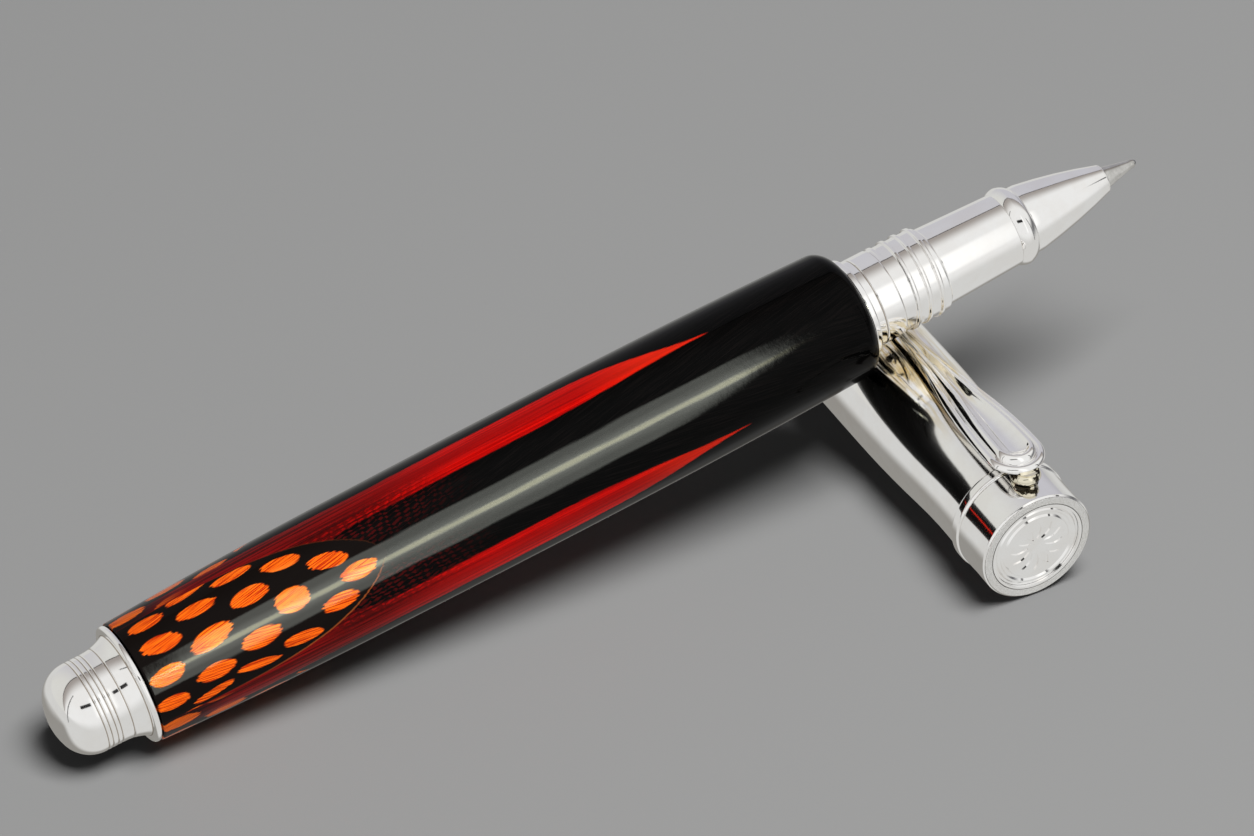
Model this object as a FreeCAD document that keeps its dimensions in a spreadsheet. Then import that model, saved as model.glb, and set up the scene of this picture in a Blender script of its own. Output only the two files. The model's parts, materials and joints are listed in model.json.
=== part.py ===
import FreeCAD, Part
import Sketcher
import os

# A rollerball pen, uncapped and at rest. Its barrel is feathers cast in resin, and it lies propped
# on its own cap: the back of the barrel on the table, the front coupler on the end of the clip.
# Turned pieces are drawn along their own X axis. The pen's starts at the tip of the rear finial
# and runs to the writing ball, and the cap's starts at its closed end and runs to its mouth.
# Everything is in millimetres, +Z up, with the origin on the table under the middle of the whole.

DIMENSIONS = {
    # rear finial
    "crown_radius": 7.0,
    "dome_shoulder": 3.6,
    "finial_radius": 4.93,
    "waist_start": 6.0,
    "waist_bend": 5.6,
    "lip_start": 8.7,
    "lip_height": 0.45,
    "finial_length": 9.45,
    "finial_stud_radius": 3.4,
    "finial_stud_length": 5.85,
    "engraving_width": 0.22,
    "engraving_depth": 0.13,
    "first_engraving": 4.0,
    "engraving_gap": 0.5,
    "engraving_pair_step": 1.1,
    "lone_engraving": 7.0,
    # barrel
    "barrel_start": 9.5,
    "barrel_length": 85.65,
    "barrel_rear_radius": 6.58,
    "barrel_rear_round": 0.2,
    "swell_length": 23.5,
    "swell_bend": 620.0,
    "belly_station": 67.1,
    "belly_radius": 7.5,
    "belly_bend": 2900.0,
    "taper_bend": 870.0,
    "shoulder_bend": 2.0,
    "shoulder_back": 1.95,
    "front_lip": 1.15,
    "tube_radius": 5.7,
    "tube_wall": 0.4,
    "feather_thickness": 0.1,
    "glue_gap": 0.02,
    "bushing_length": 5.8,
    # front coupler
    "coupler_insert": 9.6,
    "coupler_neck": 4.88,
    "coupler_bore": 3.85,
    "flange_radius": 5.42,
    "flange_width": 0.8,
    "flange_round": 0.25,
    "band_line": 1.75,
    "thread_start": 4.35,
    "thread_pitch": 1.5,
    "thread_width": 0.5,
    "thread_flank": 0.14,
    "thread_crest": 4.95,
    "thread_root": 4.72,
    "coupler_length": 9.8,
    "coupler_edge": 0.2,
    # grip section
    "seam_gap": 0.05,
    "running_gap": 0.07,
    "grip_length": 9.2,
    "grip_rear_radius": 4.38,
    "grip_front_radius": 4.05,
    "grip_bore": 3.18,
    "feed_bore": 2.62,
    "tenon_length": 8.0,
    "feed_seat": 2.4,
    "bead_width": 2.25,
    "bead_crest": 4.42,
    "bead_crest_at": 1.0,
    "bead_bend": 1.9,
    "nose_tenon_radius": 3.0,
    "nose_tenon_length": 3.1,
    "nose_radius": 3.78,
    "nose_land": 0.8,
    "nose_length": 10.4,
    "nose_bend": 60.0,
    "mouth_radius": 1.62,
    "mouth_round": 0.2,
    "mouth_bore": 1.3,
    "nose_bore_cone": 2.6,
    "nose_bore_mouth": 4.3,
    # refill
    "pen_length": 131.0,
    "refill_length": 110.5,
    "refill_radius": 3.1,
    "refill_wall": 0.35,
    "plug_head": 0.8,
    "plug_length": 3.5,
    "fibre_gap": 0.05,
    "fibre_length": 73.0,
    "feed_collar": 1.25,
    "feed_spigot": 6.0,
    "feed_radius": 2.54,
    "feed_length": 12.5,
    "feed_cone": 2.0,
    "feed_cone_end": 1.55,
    "tip_radius": 1.15,
    "tip_cone": 3.5,
    "tip_shank": 9.3,
    "tip_end_radius": 0.43,
    "ink_channel": 0.12,
    "ball_radius": 0.35,
    "ball_proud": 0.3,
    "socket_gap": 0.02,
    "spring_radius": 2.2,
    "spring_wire": 0.4,
    "spring_pitch": 1.1,
    "spring_length": 4.5,
    # cap
    "cap_length": 42.5,
    "end_radius": 6.42,
    "end_waist_bend": 60.0,
    "end_length": 5.1,
    "end_bevel": 0.25,
    "medallion_radius": 5.05,
    "medallion_depth": 1.0,
    "end_stud_radius": 2.6,
    "end_stud_length": 3.0,
    "end_stud_bore": 1.6,
    "end_stud_bore_depth": 2.2,
    "medallion_face": 0.15,
    "medallion_step": 0.18,
    "medallion_field": 3.75,
    "medallion_groove": 4.2,
    "medallion_land": 4.6,
    "petal_start": 0.9,
    "petal_middle": 2.2,
    "petal_end": 3.2,
    "petal_width": 0.8,
    "petal_bend": 2.6,
    "petal_depth": 0.12,
    "ring_width": 1.4,
    "ring_radius": 6.47,
    "ring_round": 0.3,
    "narrow_station": 10.5,
    "narrow_radius": 6.13,
    "flare_station": 15.5,
    "flare_concave": 70.0,
    "flare_convex": 160.0,
    "cap_bore": 5.35,
    "cap_mouth_round": 0.25,
    "insert_length": 9.5,
    "insert_radius": 6.1,
    "insert_recess": 0.3,
    "cap_thread_gap": 0.1,
    "liner_radius": 4.7,
    "liner_floor": 0.7,
    "liner_hole": 1.9,
    "cap_bushing_length": 1.4,
    # clip
    "clip_lobe_centre": 5.9,
    "clip_lobe": 3.3,
    "clip_tail": 0.7,
    "clip_tail_start": 31.0,
    "clip_tail_length": 3.2,
    "clip_top": 9.3,
    "clip_top_station": 6.5,
    "clip_top_bend": 225.0,
    "clip_back_bend": 32.0,
    "clip_back_station": 3.4,
    "clip_back_round": 0.62,
    "clip_back_shoulder": 0.68,
    "clip_underside": 8.0,
    "clip_underside_back": 3.25,
    "clip_underside_front": 7.5,
    "clip_foot_height": 6.78,
    "clip_foot_length": 2.2,
    "clip_foot_rise": 0.3,
    "panel_centre": 6.3,
    "panel_lobe": 2.15,
    "panel_tail": 0.25,
    "panel_tail_start": 19.0,
    "panel_depth": 0.35,
    "panel_slope": 1.7,
    "panel_tail_length": 0.4,
    "clearance": 1.0,
    "post_station": 3.4,
    "post_radius": 1.65,
    "post_seat": 6.25,
    "post_screw": 1.1,
    "post_screw_foot": 4.9,
    # how the two halves lie
    "rest_tilt": 8.54,
    "cap_yaw": 88.4,
    "cap_tilt": 0.41,
    "clip_roll": 3.0,
    "crossing_station": 100.5,
    "crossing_reach": 29.87,
}
ENGRAVED_PAIRS = 2
THREAD_RIDGES = 4
MEDALLION_PETALS = 12

document = FreeCAD.newDocument("feather_pen")
sheet = document.addObject("Spreadsheet::Sheet", "Dimensions")


class Size:
    """A length that knows its value and the spreadsheet formula that gives it."""

    def __init__(self, value, text):
        self.value = float(value)
        self.text = text

    def __add__(self, other):
        other = size(other)
        return Size(self.value + other.value, f"({self.text} + {other.text})")

    def __radd__(self, other):
        return size(other) + self

    def __sub__(self, other):
        other = size(other)
        return Size(self.value - other.value, f"({self.text} - {other.text})")

    def __rsub__(self, other):
        return size(other) - self

    def __mul__(self, other):
        other = size(other)
        return Size(self.value * other.value, f"({self.text} * {other.text})")

    def __rmul__(self, other):
        return size(other) * self

    def __truediv__(self, other):
        other = size(other)
        return Size(self.value / other.value, f"({self.text} / {other.text})")

    def __neg__(self):
        return Size(-self.value, f"(0 - {self.text})")

    def root(self):
        return Size(self.value ** 0.5, f"sqrt({self.text})")


def size(number):
    return number if isinstance(number, Size) else Size(number, repr(float(number)))


def dim(alias):
    """The driving dimension with this name."""
    return Size(sheet.get(alias), f"Dimensions.{alias}")


def fill_sheet():
    for row, (alias, value) in enumerate(DIMENSIONS.items(), start=1):
        sheet.set(f"A{row}", alias)
        sheet.set(f"B{row}", str(value))
        sheet.setAlias(f"B{row}", alias)
    document.recompute()


# ---- sketches -----------------------------------------------------------------------------------

def origin_feature(body, role):
    return [feature for feature in body.Origin.OriginFeatures if feature.Role == role][0]


def new_body(label):
    body = document.addObject("PartDesign::Body", label)
    body.Label = label
    return body


def new_sketch(body, name, role, height=None):
    """A sketch on one of the body's own origin planes, or lifted off it by a height."""
    sketch = body.newObject("Sketcher::SketchObject", f"{body.Name}_{name}")
    sketch.AttachmentSupport = (origin_feature(body, role), [""])
    sketch.MapMode = "FlatFace"
    if height is not None:
        sketch.setExpression("AttachmentOffset.Base.z", height.text)
    return sketch


def turn(axis, degrees):
    return FreeCAD.Rotation(FreeCAD.Vector(*axis), degrees)


def straight(along, across):
    """A corner that a straight edge leads to."""
    return size(along), size(across), None, None


def bend(along, across, radius, side):
    """A corner that a short arc leads to, bulging to the left or right of the way it is drawn."""
    return size(along), size(across), radius, side


def short_arc(start, end, radius, side):
    chord = end - start
    half = chord.Length / 2
    aside = FreeCAD.Vector(-chord.y, chord.x, 0).normalize()
    if side == "right":
        aside = -aside
    sagitta = radius - max(radius * radius - half * half, 0) ** 0.5
    return Part.Arc(start, (start + end) / 2 + aside * sagitta, end)


def pin_to_origin(constraints, formulas, edge, point, corner):
    """Tie one end of an edge to its two coordinates, each bound to its own formula."""
    for coordinate, axis, kind in ((corner[0], -2, "DistanceX"), (corner[1], -1, "DistanceY")):
        if abs(coordinate.value) < 1e-9:
            constraints.append(Sketcher.Constraint("PointOnObject", edge, point, axis))
        elif coordinate.value > 0:
            formulas[len(constraints)] = coordinate.text
            constraints.append(Sketcher.Constraint(kind, -1, 1, edge, point, coordinate.value))
        else:
            formulas[len(constraints)] = (-coordinate).text
            constraints.append(Sketcher.Constraint(kind, edge, point, -1, 1, -coordinate.value))


def draw_outline(sketch, corners):
    """Draw a closed outline through the corners and bind every corner and arc to the sheet."""
    places = [FreeCAD.Vector(corner[0].value, corner[1].value, 0) for corner in corners]
    ends = []
    constraints = []
    formulas = {}
    already = sketch.ConstraintCount
    for number, (_, _, radius, side) in enumerate(corners):
        start, end = places[number - 1], places[number]
        if radius is None:
            edge = sketch.addGeometry(Part.LineSegment(start, end), False)
        else:
            edge = sketch.addGeometry(short_arc(start, end, radius.value, side), False)
        reversed_edge = (sketch.getPoint(edge, 2) - start).Length < (sketch.getPoint(edge, 1) - start).Length
        ends.append((edge, 2, 1) if reversed_edge else (edge, 1, 2))
        pin_to_origin(constraints, formulas, edge, ends[-1][2], corners[number])
        if radius is not None:
            formulas[len(constraints)] = radius.text
            constraints.append(Sketcher.Constraint("Radius", edge, radius.value))
    for number, (edge, start_point, end_point) in enumerate(ends):
        before = ends[number - 1]
        constraints.append(Sketcher.Constraint("Coincident", before[0], before[2], edge, start_point))
    sketch.addConstraint(constraints)
    for number, text in formulas.items():
        sketch.setExpression(f"Constraints[{already + number}]", text)


def draw_circle(sketch, along, radius):
    """A circle centred on the sketch's first axis."""
    middle = FreeCAD.Vector(along.value, 0, 0)
    circle = sketch.addGeometry(Part.Circle(middle, FreeCAD.Vector(0, 0, 1), radius.value), False)
    sketch.addConstraint(Sketcher.Constraint("PointOnObject", circle, 3, -1))
    place = sketch.addConstraint(Sketcher.Constraint("DistanceX", -1, 1, circle, 3, along.value))
    sketch.setExpression(f"Constraints[{place}]", along.text)
    width = sketch.addConstraint(Sketcher.Constraint("Radius", circle, radius.value))
    sketch.setExpression(f"Constraints[{width}]", radius.text)


# ---- features -----------------------------------------------------------------------------------

def turned(label, corners):
    """A piece turned on a lathe: a closed outline swept round the body's X axis."""
    body = new_body(label)
    sketch = new_sketch(body, "Outline", "XZ_Plane")
    draw_outline(sketch, corners)
    turning = body.newObject("PartDesign::Revolution", f"{label}_Turning")
    turning.Profile = sketch
    turning.ReferenceAxis = (sketch, ["H_Axis"])
    turning.Angle = 360
    return body


def tube(label, start, end, inner, outer):
    corners = [straight(start, inner), straight(start, outer), straight(end, outer), straight(end, inner)]
    return turned(label, corners)


def pad(body, name, sketch, length, reverse=False):
    feature = body.newObject("PartDesign::Pad", f"{body.Name}_{name}")
    feature.Profile = sketch
    feature.setExpression("Length", length.text)
    feature.Reversed = reverse
    return feature


def pocket(body, name, sketch, depth, reverse=False):
    feature = body.newObject("PartDesign::Pocket", f"{body.Name}_{name}")
    feature.Profile = sketch
    feature.setExpression("Length", depth.text)
    feature.Reversed = reverse
    return feature


def drop_of(bend_radius, run):
    """How far a circle falls away from its tangent over a run."""
    return bend_radius - (bend_radius * bend_radius - run * run).root()


# ---- pen: rear end and barrel -------------------------------------------------------------------

def finial():
    """A domed end with engraved lines, a waist and a lip, and the stud that holds it."""
    crown = dim("crown_radius")
    shoulder = dim("dome_shoulder")
    radius = dim("finial_radius")
    rise = radius - shoulder
    reach = ((crown - shoulder) * (crown - shoulder) - rise * rise).root()
    spread = crown / (crown - shoulder)
    corners = [
        straight(0, 0),
        bend(crown - reach * spread, rise * spread, crown, "left"),
        bend(crown - reach, radius, shoulder, "left"),
    ]
    corners += engraved_lines(radius)
    waist = dim("waist_start")
    waist_bend = dim("waist_bend")
    lip = dim("lip_start")
    length = dim("finial_length")
    round_over = (length - lip) / 2
    lip_base = dim("barrel_rear_radius") - dim("lip_height")
    line = dim("lone_engraving")
    half = dim("engraving_width") / 2

    def waist_level(station):
        return radius + drop_of(waist_bend, station - waist)

    corners += [
        straight(waist, radius),
        bend(line - half, waist_level(line - half), waist_bend, "right"),
        straight(line, waist_level(line) - dim("engraving_depth")),
        straight(line + half, waist_level(line + half)),
        bend(lip, waist_level(lip), waist_bend, "right"),
        straight(lip, lip_base),
        bend(lip + round_over, lip_base + round_over, round_over, "left"),
        bend(length, lip_base, round_over, "left"),
        straight(length, dim("finial_stud_radius")),
        straight(length + dim("finial_stud_length"), dim("finial_stud_radius")),
        straight(length + dim("finial_stud_length"), 0),
    ]
    return turned("finial", corners)


def engraved_lines(radius):
    """Pairs of V-shaped lines cut round the finial's straight part."""
    stations = []
    for pair in range(ENGRAVED_PAIRS):
        first = dim("first_engraving") + pair * dim("engraving_pair_step")
        stations += [first, first + dim("engraving_gap")]
    half = dim("engraving_width") / 2
    corners = []
    for station in stations:
        corners += [
            straight(station, radius),
            straight(station + half, radius - dim("engraving_depth")),
            straight(station + half * 2, radius),
        ]
    return corners


def rear_bushing():
    start = dim("barrel_start")
    inner = dim("finial_stud_radius") + dim("glue_gap")
    outer = tube_bore() - dim("glue_gap")
    return tube("rear_bushing", start, start + dim("bushing_length"), inner, outer)


def barrel_end():
    return dim("barrel_start") + dim("barrel_length")


def tube_bore():
    return dim("tube_radius") - dim("tube_wall")


def tube_end():
    return barrel_end() - dim("front_lip") - dim("glue_gap")


def barrel_tube():
    start = dim("barrel_start") + dim("glue_gap")
    return tube("barrel_tube", start, tube_end(), tube_bore(), dim("tube_radius"))


def feather_radius():
    return dim("tube_radius") + dim("glue_gap")


def feather_wrap():
    inner = feather_radius()
    outer = inner + dim("feather_thickness")
    return tube("feather_wrap", dim("barrel_start") + dim("glue_gap"), tube_end(), inner, outer)


def resin_barrel():
    """The cast barrel: it swells from the back to a belly and rounds over at the front."""
    start = dim("barrel_start")
    belly = dim("belly_station")
    belly_radius = dim("belly_radius")
    swell_end = start + dim("swell_length")
    swell_radius = belly_radius - drop_of(dim("belly_bend"), belly - swell_end)
    rear_round = dim("barrel_rear_round")
    rear_radius = dim("barrel_rear_radius")
    shoulder = dim("shoulder_bend")
    taper = dim("taper_bend")
    shoulder_station = barrel_end() - dim("shoulder_back")
    run = shoulder_station - belly
    shoulder_height = belly_radius - taper + ((taper - shoulder) * (taper - shoulder) - run * run).root()
    fall = shoulder_height - belly_radius + taper
    spread = taper / (taper - shoulder)
    back = dim("shoulder_back")
    bore = feather_radius() + dim("feather_thickness") + dim("glue_gap")
    corners = [
        straight(start, bore),
        straight(start, rear_radius - rear_round),
        bend(start + rear_round, rear_radius, rear_round, "left"),
        bend(swell_end, swell_radius, dim("swell_bend"), "left"),
        bend(belly, belly_radius, dim("belly_bend"), "left"),
        bend(belly + run * spread, belly_radius - taper + fall * spread, taper, "left"),
        bend(barrel_end(), shoulder_height + (shoulder * shoulder - back * back).root(), shoulder, "left"),
        straight(barrel_end(), tube_bore()),
        straight(barrel_end() - dim("front_lip"), tube_bore()),
        straight(barrel_end() - dim("front_lip"), bore),
    ]
    return turned("resin_barrel", corners)


# ---- pen: front coupler -------------------------------------------------------------------------

def coupler_ring():
    """The rounded flange between the barrel and the coupler."""
    start = barrel_end()
    end = start + dim("flange_width")
    radius = dim("flange_radius")
    edge = dim("flange_round")
    inner = dim("coupler_neck") + dim("glue_gap") * 2
    corners = [
        straight(start, inner),
        straight(start, radius - edge),
        bend(start + edge, radius, edge, "left"),
        straight(end - edge, radius),
        bend(end, radius - edge, edge, "left"),
        straight(end, inner),
    ]
    return turned("coupler_ring", corners)


def coupler_end():
    return barrel_end() + dim("coupler_length")


def front_coupler():
    """Pressed into the tube: a plain band, then the raised threads that hold the cap."""
    face = barrel_end()
    neck = dim("coupler_neck")
    line = face + dim("band_line")
    half = dim("engraving_width") / 2
    bore = dim("coupler_bore")
    back = face - dim("coupler_insert")
    insert = tube_bore() - dim("glue_gap")
    corners = [
        straight(back, bore),
        straight(back, insert),
        straight(face - dim("seam_gap"), insert),
        straight(face - dim("seam_gap"), neck),
        straight(line - half, neck),
        straight(line, neck - dim("engraving_depth")),
        straight(line + half, neck),
        straight(face + dim("thread_start") - dim("thread_flank"), neck),
    ]
    corners += thread_ridges(face + dim("thread_start"))
    edge = dim("coupler_edge")
    corners += [
        straight(coupler_end() - edge, dim("thread_root")),
        bend(coupler_end(), dim("thread_root") - edge, edge, "left"),
        straight(coupler_end(), bore),
    ]
    return turned("front_coupler", corners)


def thread_ridges(start):
    """Narrow raised ridges, one thread pitch apart."""
    flank = dim("thread_flank")
    root = dim("thread_root")
    crest = dim("thread_crest")
    corners = []
    for number in range(THREAD_RIDGES):
        foot = start + number * dim("thread_pitch")
        end = foot + dim("thread_width")
        corners += [
            straight(foot, root),
            straight(foot + flank, crest),
            straight(end - flank, crest),
            straight(end, root),
        ]
    return corners


# ---- pen: grip section --------------------------------------------------------------------------

def grip_start():
    return coupler_end() + dim("seam_gap")


def grip_end():
    return grip_start() + dim("grip_length")


def feed_seat():
    """Where the step inside the grip stops the refill's collar."""
    return grip_start() + dim("feed_seat")


def grip_section():
    """The metal grip with the tenon that screws into the coupler, and the step that stops the refill."""
    tenon = dim("coupler_bore") - dim("running_gap")
    nose_socket = dim("nose_tenon_radius") + dim("glue_gap")
    socket_floor = bead_end() - dim("nose_tenon_length") - dim("bead_width") - dim("glue_gap")
    corners = [
        straight(grip_start() - dim("tenon_length"), dim("grip_bore")),
        straight(grip_start() - dim("tenon_length"), tenon),
        straight(grip_start(), tenon),
        straight(grip_start(), dim("grip_rear_radius") - dim("coupler_edge")),
        bend(grip_start() + dim("coupler_edge"), dim("grip_rear_radius"), dim("coupler_edge"), "left"),
        straight(grip_end(), dim("grip_front_radius")),
        straight(grip_end(), nose_socket),
        straight(socket_floor, nose_socket),
        straight(socket_floor, dim("feed_bore")),
        straight(feed_seat(), dim("feed_bore")),
        straight(feed_seat(), dim("grip_bore")),
    ]
    return turned("grip_section", corners)


def bead_end():
    return grip_end() + dim("bead_width")


def grip_bead():
    """The raised ring between the grip and the nose."""
    inner = dim("nose_tenon_radius") + dim("glue_gap")
    middle = grip_end() + dim("bead_crest_at")
    bend_radius = dim("bead_bend")
    corners = [
        straight(grip_end(), inner),
        straight(grip_end(), dim("grip_front_radius")),
        bend(middle, dim("bead_crest"), bend_radius, "left"),
        bend(bead_end(), dim("nose_radius"), bend_radius, "left"),
        straight(bead_end(), inner),
    ]
    return turned("grip_bead", corners)


def nose_end():
    return bead_end() + dim("nose_length")


def nose_cone():
    """The tapering nose, bored for the refill's front housing and its tip."""
    tenon = dim("nose_tenon_radius")
    tenon_start = bead_end() - dim("bead_width") - dim("nose_tenon_length")
    mouth = dim("mouth_radius")
    edge = dim("mouth_round")
    cone_start = nose_end() - dim("nose_bore_mouth") - dim("nose_bore_cone")
    cone_end = nose_end() - dim("nose_bore_mouth")
    corners = [
        straight(tenon_start, dim("feed_bore")),
        straight(tenon_start, tenon),
        straight(bead_end(), tenon),
        straight(bead_end(), dim("nose_radius")),
        straight(bead_end() + dim("nose_land"), dim("nose_radius")),
        bend(nose_end() - edge, mouth, dim("nose_bend"), "left"),
        bend(nose_end(), mouth - edge, edge, "left"),
        straight(nose_end(), dim("mouth_bore")),
        straight(cone_end, dim("mouth_bore")),
        straight(cone_start, dim("feed_bore")),
    ]
    return turned("nose_cone", corners)


# ---- pen: refill --------------------------------------------------------------------------------

def refill_start():
    return dim("pen_length") - dim("refill_length")


def collar_start():
    return feed_seat() - dim("seam_gap") - dim("feed_collar")


def tube_inner():
    return dim("refill_radius") - dim("refill_wall")


def refill_plug():
    """The stopper in the back of the ink tube."""
    start = refill_start()
    head = start + dim("plug_head")
    end = start + dim("plug_length")
    plug = tube_inner() - dim("glue_gap")
    corners = [
        straight(start, 0),
        straight(start, dim("refill_radius")),
        straight(head, dim("refill_radius")),
        straight(head, plug),
        straight(end, plug),
        straight(end, 0),
    ]
    return turned("refill_plug", corners)


def refill_tube():
    start = refill_start() + dim("plug_head") + dim("glue_gap")
    end = collar_start() - dim("glue_gap")
    return tube("refill_tube", start, end, tube_inner(), dim("refill_radius"))


def ink_fibre():
    start = refill_start() + dim("plug_length") + dim("seam_gap")
    radius = tube_inner() - dim("fibre_gap")
    corners = [
        straight(start, 0),
        straight(start, radius),
        straight(start + dim("fibre_length"), radius),
        straight(start + dim("fibre_length"), 0),
    ]
    return turned("ink_fibre", corners)


def feed_end():
    return feed_seat() + dim("feed_length") + dim("feed_cone")


def refill_feed():
    """The refill's front housing: a spigot in the tube, a collar that seats, and a tapered front."""
    spigot_start = collar_start() - dim("feed_spigot")
    shank = dim("tip_radius") + dim("glue_gap")
    collar_end = collar_start() + dim("feed_collar")
    cone_start = feed_end() - dim("feed_cone")
    corners = [
        straight(spigot_start, shank),
        straight(spigot_start, tube_inner() - dim("glue_gap")),
        straight(collar_start(), tube_inner() - dim("glue_gap")),
        straight(collar_start(), dim("refill_radius")),
        straight(collar_end, dim("refill_radius")),
        straight(collar_end, dim("feed_radius")),
        straight(cone_start, dim("feed_radius")),
        straight(feed_end(), dim("feed_cone_end")),
        straight(feed_end(), shank),
    ]
    return turned("refill_feed", corners)


def ball_station():
    return dim("pen_length") - dim("ball_radius")


def refill_tip():
    """The steel point: a shank, a cone, an ink channel and the socket that holds the ball."""
    front = dim("pen_length") - dim("ball_proud")
    cone_start = front - dim("tip_cone")
    start = cone_start - dim("tip_shank")
    socket = dim("ball_radius") + dim("socket_gap")
    channel = dim("ink_channel")
    ahead = front - ball_station()
    rim = (socket * socket - ahead * ahead).root()
    floor = (socket * socket - channel * channel).root()
    corners = [
        straight(start, channel),
        straight(start, dim("tip_radius")),
        straight(cone_start, dim("tip_radius")),
        straight(front, dim("tip_end_radius")),
        straight(front, rim),
        bend(ball_station(), socket, socket, "right"),
        bend(ball_station() - floor, channel, socket, "right"),
    ]
    return turned("refill_tip", corners)


def writing_ball():
    radius = dim("ball_radius")
    centre = ball_station()
    corners = [
        straight(centre - radius, 0),
        bend(centre, radius, radius, "left"),
        bend(centre + radius, 0, radius, "left"),
    ]
    return turned("writing_ball", corners)


def refill_spring():
    """A wire coil between the finial's stud and the refill."""
    body = new_body("refill_spring")
    sketch = new_sketch(body, "Wire", "XZ_Plane")
    start = dim("finial_length") + dim("finial_stud_length") + dim("spring_wire")
    wire = dim("spring_wire") / 2
    middle = FreeCAD.Vector(start.value, dim("spring_radius").value, 0)
    circle = sketch.addGeometry(Part.Circle(middle, FreeCAD.Vector(0, 0, 1), wire.value), False)
    ties = (
        (Sketcher.Constraint("DistanceX", -1, 1, circle, 3, start.value), start),
        (Sketcher.Constraint("DistanceY", -1, 1, circle, 3, middle.y), dim("spring_radius")),
        (Sketcher.Constraint("Radius", circle, wire.value), wire),
    )
    for constraint, length in ties:
        number = sketch.addConstraint(constraint)
        sketch.setExpression(f"Constraints[{number}]", length.text)
    coil = body.newObject("PartDesign::AdditiveHelix", "refill_spring_Coil")
    coil.Profile = sketch
    coil.ReferenceAxis = (sketch, ["H_Axis"])
    coil.Mode = "pitch-height-angle"
    coil.setExpression("Pitch", dim("spring_pitch").text)
    coil.setExpression("Height", (dim("spring_length") - dim("spring_wire") * 2).text)
    return body


# ---- cap ----------------------------------------------------------------------------------------

def cap_finial():
    """The closed end: a drum with a bevelled face, a recess for the medallion, and a hollow stud."""
    radius = dim("end_radius")
    bevel = dim("end_bevel")
    length = dim("end_length")
    stud_end = length + dim("end_stud_length")
    bore_floor = stud_end - dim("end_stud_bore_depth")
    corners = [
        straight(dim("medallion_depth"), 0),
        straight(dim("medallion_depth"), dim("medallion_radius")),
        straight(0, dim("medallion_radius")),
        straight(0, radius - bevel),
        straight(bevel, radius),
        bend(length, radius, dim("end_waist_bend"), "right"),
        straight(length, dim("end_stud_radius")),
        straight(stud_end, dim("end_stud_radius")),
        straight(stud_end, dim("end_stud_bore")),
        straight(bore_floor, dim("end_stud_bore")),
        straight(bore_floor, 0),
    ]
    body = turned("cap_finial", corners)
    seat = new_sketch(body, "PostSeat", "XY_Plane", dim("post_screw_foot") - dim("glue_gap"))
    draw_circle(seat, dim("post_station"), dim("post_screw") + dim("glue_gap"))
    pocket(body, "PostHole", seat, radius - dim("post_screw_foot") + dim("clearance"), reverse=True)
    socket = new_sketch(body, "PostFlat", "XY_Plane", dim("post_seat") - dim("glue_gap"))
    draw_circle(socket, dim("post_station"), dim("post_radius") + dim("glue_gap"))
    body.Tip = pocket(body, "PostFlatCut", socket, radius - dim("post_seat") + dim("clearance"), reverse=True)
    return body


def cap_medallion():
    """A stepped disc let into the end face, with a plain ring of petals cut in its middle."""
    radius = dim("medallion_radius") - dim("glue_gap")
    back = dim("medallion_depth") - dim("glue_gap")
    face = dim("medallion_face")
    step = dim("medallion_step")
    field = dim("medallion_field")
    groove = dim("medallion_groove")
    land = dim("medallion_land")
    corners = [
        straight(face, 0),
        straight(face, field),
        straight(face + step, field + step),
        straight(face + step, groove),
        straight(face, groove + step),
        straight(face, land),
        straight(face + step, land + step),
        straight(face + step, radius),
        straight(back, radius),
        straight(back, 0),
    ]
    body = turned("cap_medallion", corners)
    sketch = new_sketch(body, "Petal", "YZ_Plane", face)
    waist = dim("petal_width") / 2
    draw_outline(sketch, [
        bend(dim("petal_start"), 0, dim("petal_bend"), "left"),
        bend(dim("petal_middle"), waist, dim("petal_bend"), "left"),
        bend(dim("petal_end"), 0, dim("petal_bend"), "left"),
        bend(dim("petal_middle"), -waist, dim("petal_bend"), "left"),
    ])
    cut = pocket(body, "PetalCut", sketch, dim("petal_depth"), reverse=True)
    petals = body.newObject("PartDesign::PolarPattern", "cap_medallion_Petals")
    petals.Originals = [cut]
    petals.Axis = (origin_feature(body, "X_Axis"), [""])
    petals.Angle = 360
    petals.Occurrences = MEDALLION_PETALS
    body.Tip = petals
    return body


def cap_ring():
    """The trim ring between the end piece and the cap's tube."""
    start = dim("end_length") + dim("seam_gap")
    end = start + dim("ring_width")
    radius = dim("ring_radius")
    edge = dim("ring_round")
    inner = dim("end_stud_radius") + dim("glue_gap")
    corners = [
        straight(start, inner),
        straight(start, radius - edge),
        bend(start + edge, radius, edge, "left"),
        straight(end - edge, radius),
        bend(end, radius - edge, edge, "left"),
        straight(end, inner),
    ]
    return turned("cap_ring", corners)


def tube_start():
    return dim("end_length") + dim("seam_gap") + dim("ring_width") + dim("glue_gap")


def cap_tube():
    """A thin tube that narrows near its closed end, then flares to a plain rounded mouth."""
    start = tube_start()
    end = dim("cap_length")
    narrow = dim("narrow_station")
    flare = dim("flare_station")
    concave = dim("flare_concave")
    convex = dim("flare_convex")
    flare_run = (flare - narrow) * (convex / concave)
    flare_radius = dim("narrow_radius") + drop_of(concave, flare - narrow)
    full_radius = flare_radius + drop_of(convex, flare_run)
    edge = dim("cap_mouth_round")
    recess = end - dim("insert_length") - dim("insert_recess")
    corners = [
        straight(start, dim("cap_bore")),
        straight(start, dim("narrow_radius") + drop_of(concave, narrow - start)),
        bend(flare, flare_radius, concave, "right"),
        bend(flare + flare_run, full_radius, convex, "left"),
        straight(end - edge, full_radius),
        bend(end, full_radius - edge, edge, "left"),
        straight(end, dim("insert_radius")),
        straight(recess, dim("insert_radius")),
        straight(recess, dim("cap_bore")),
    ]
    return turned("cap_tube", corners)


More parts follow.
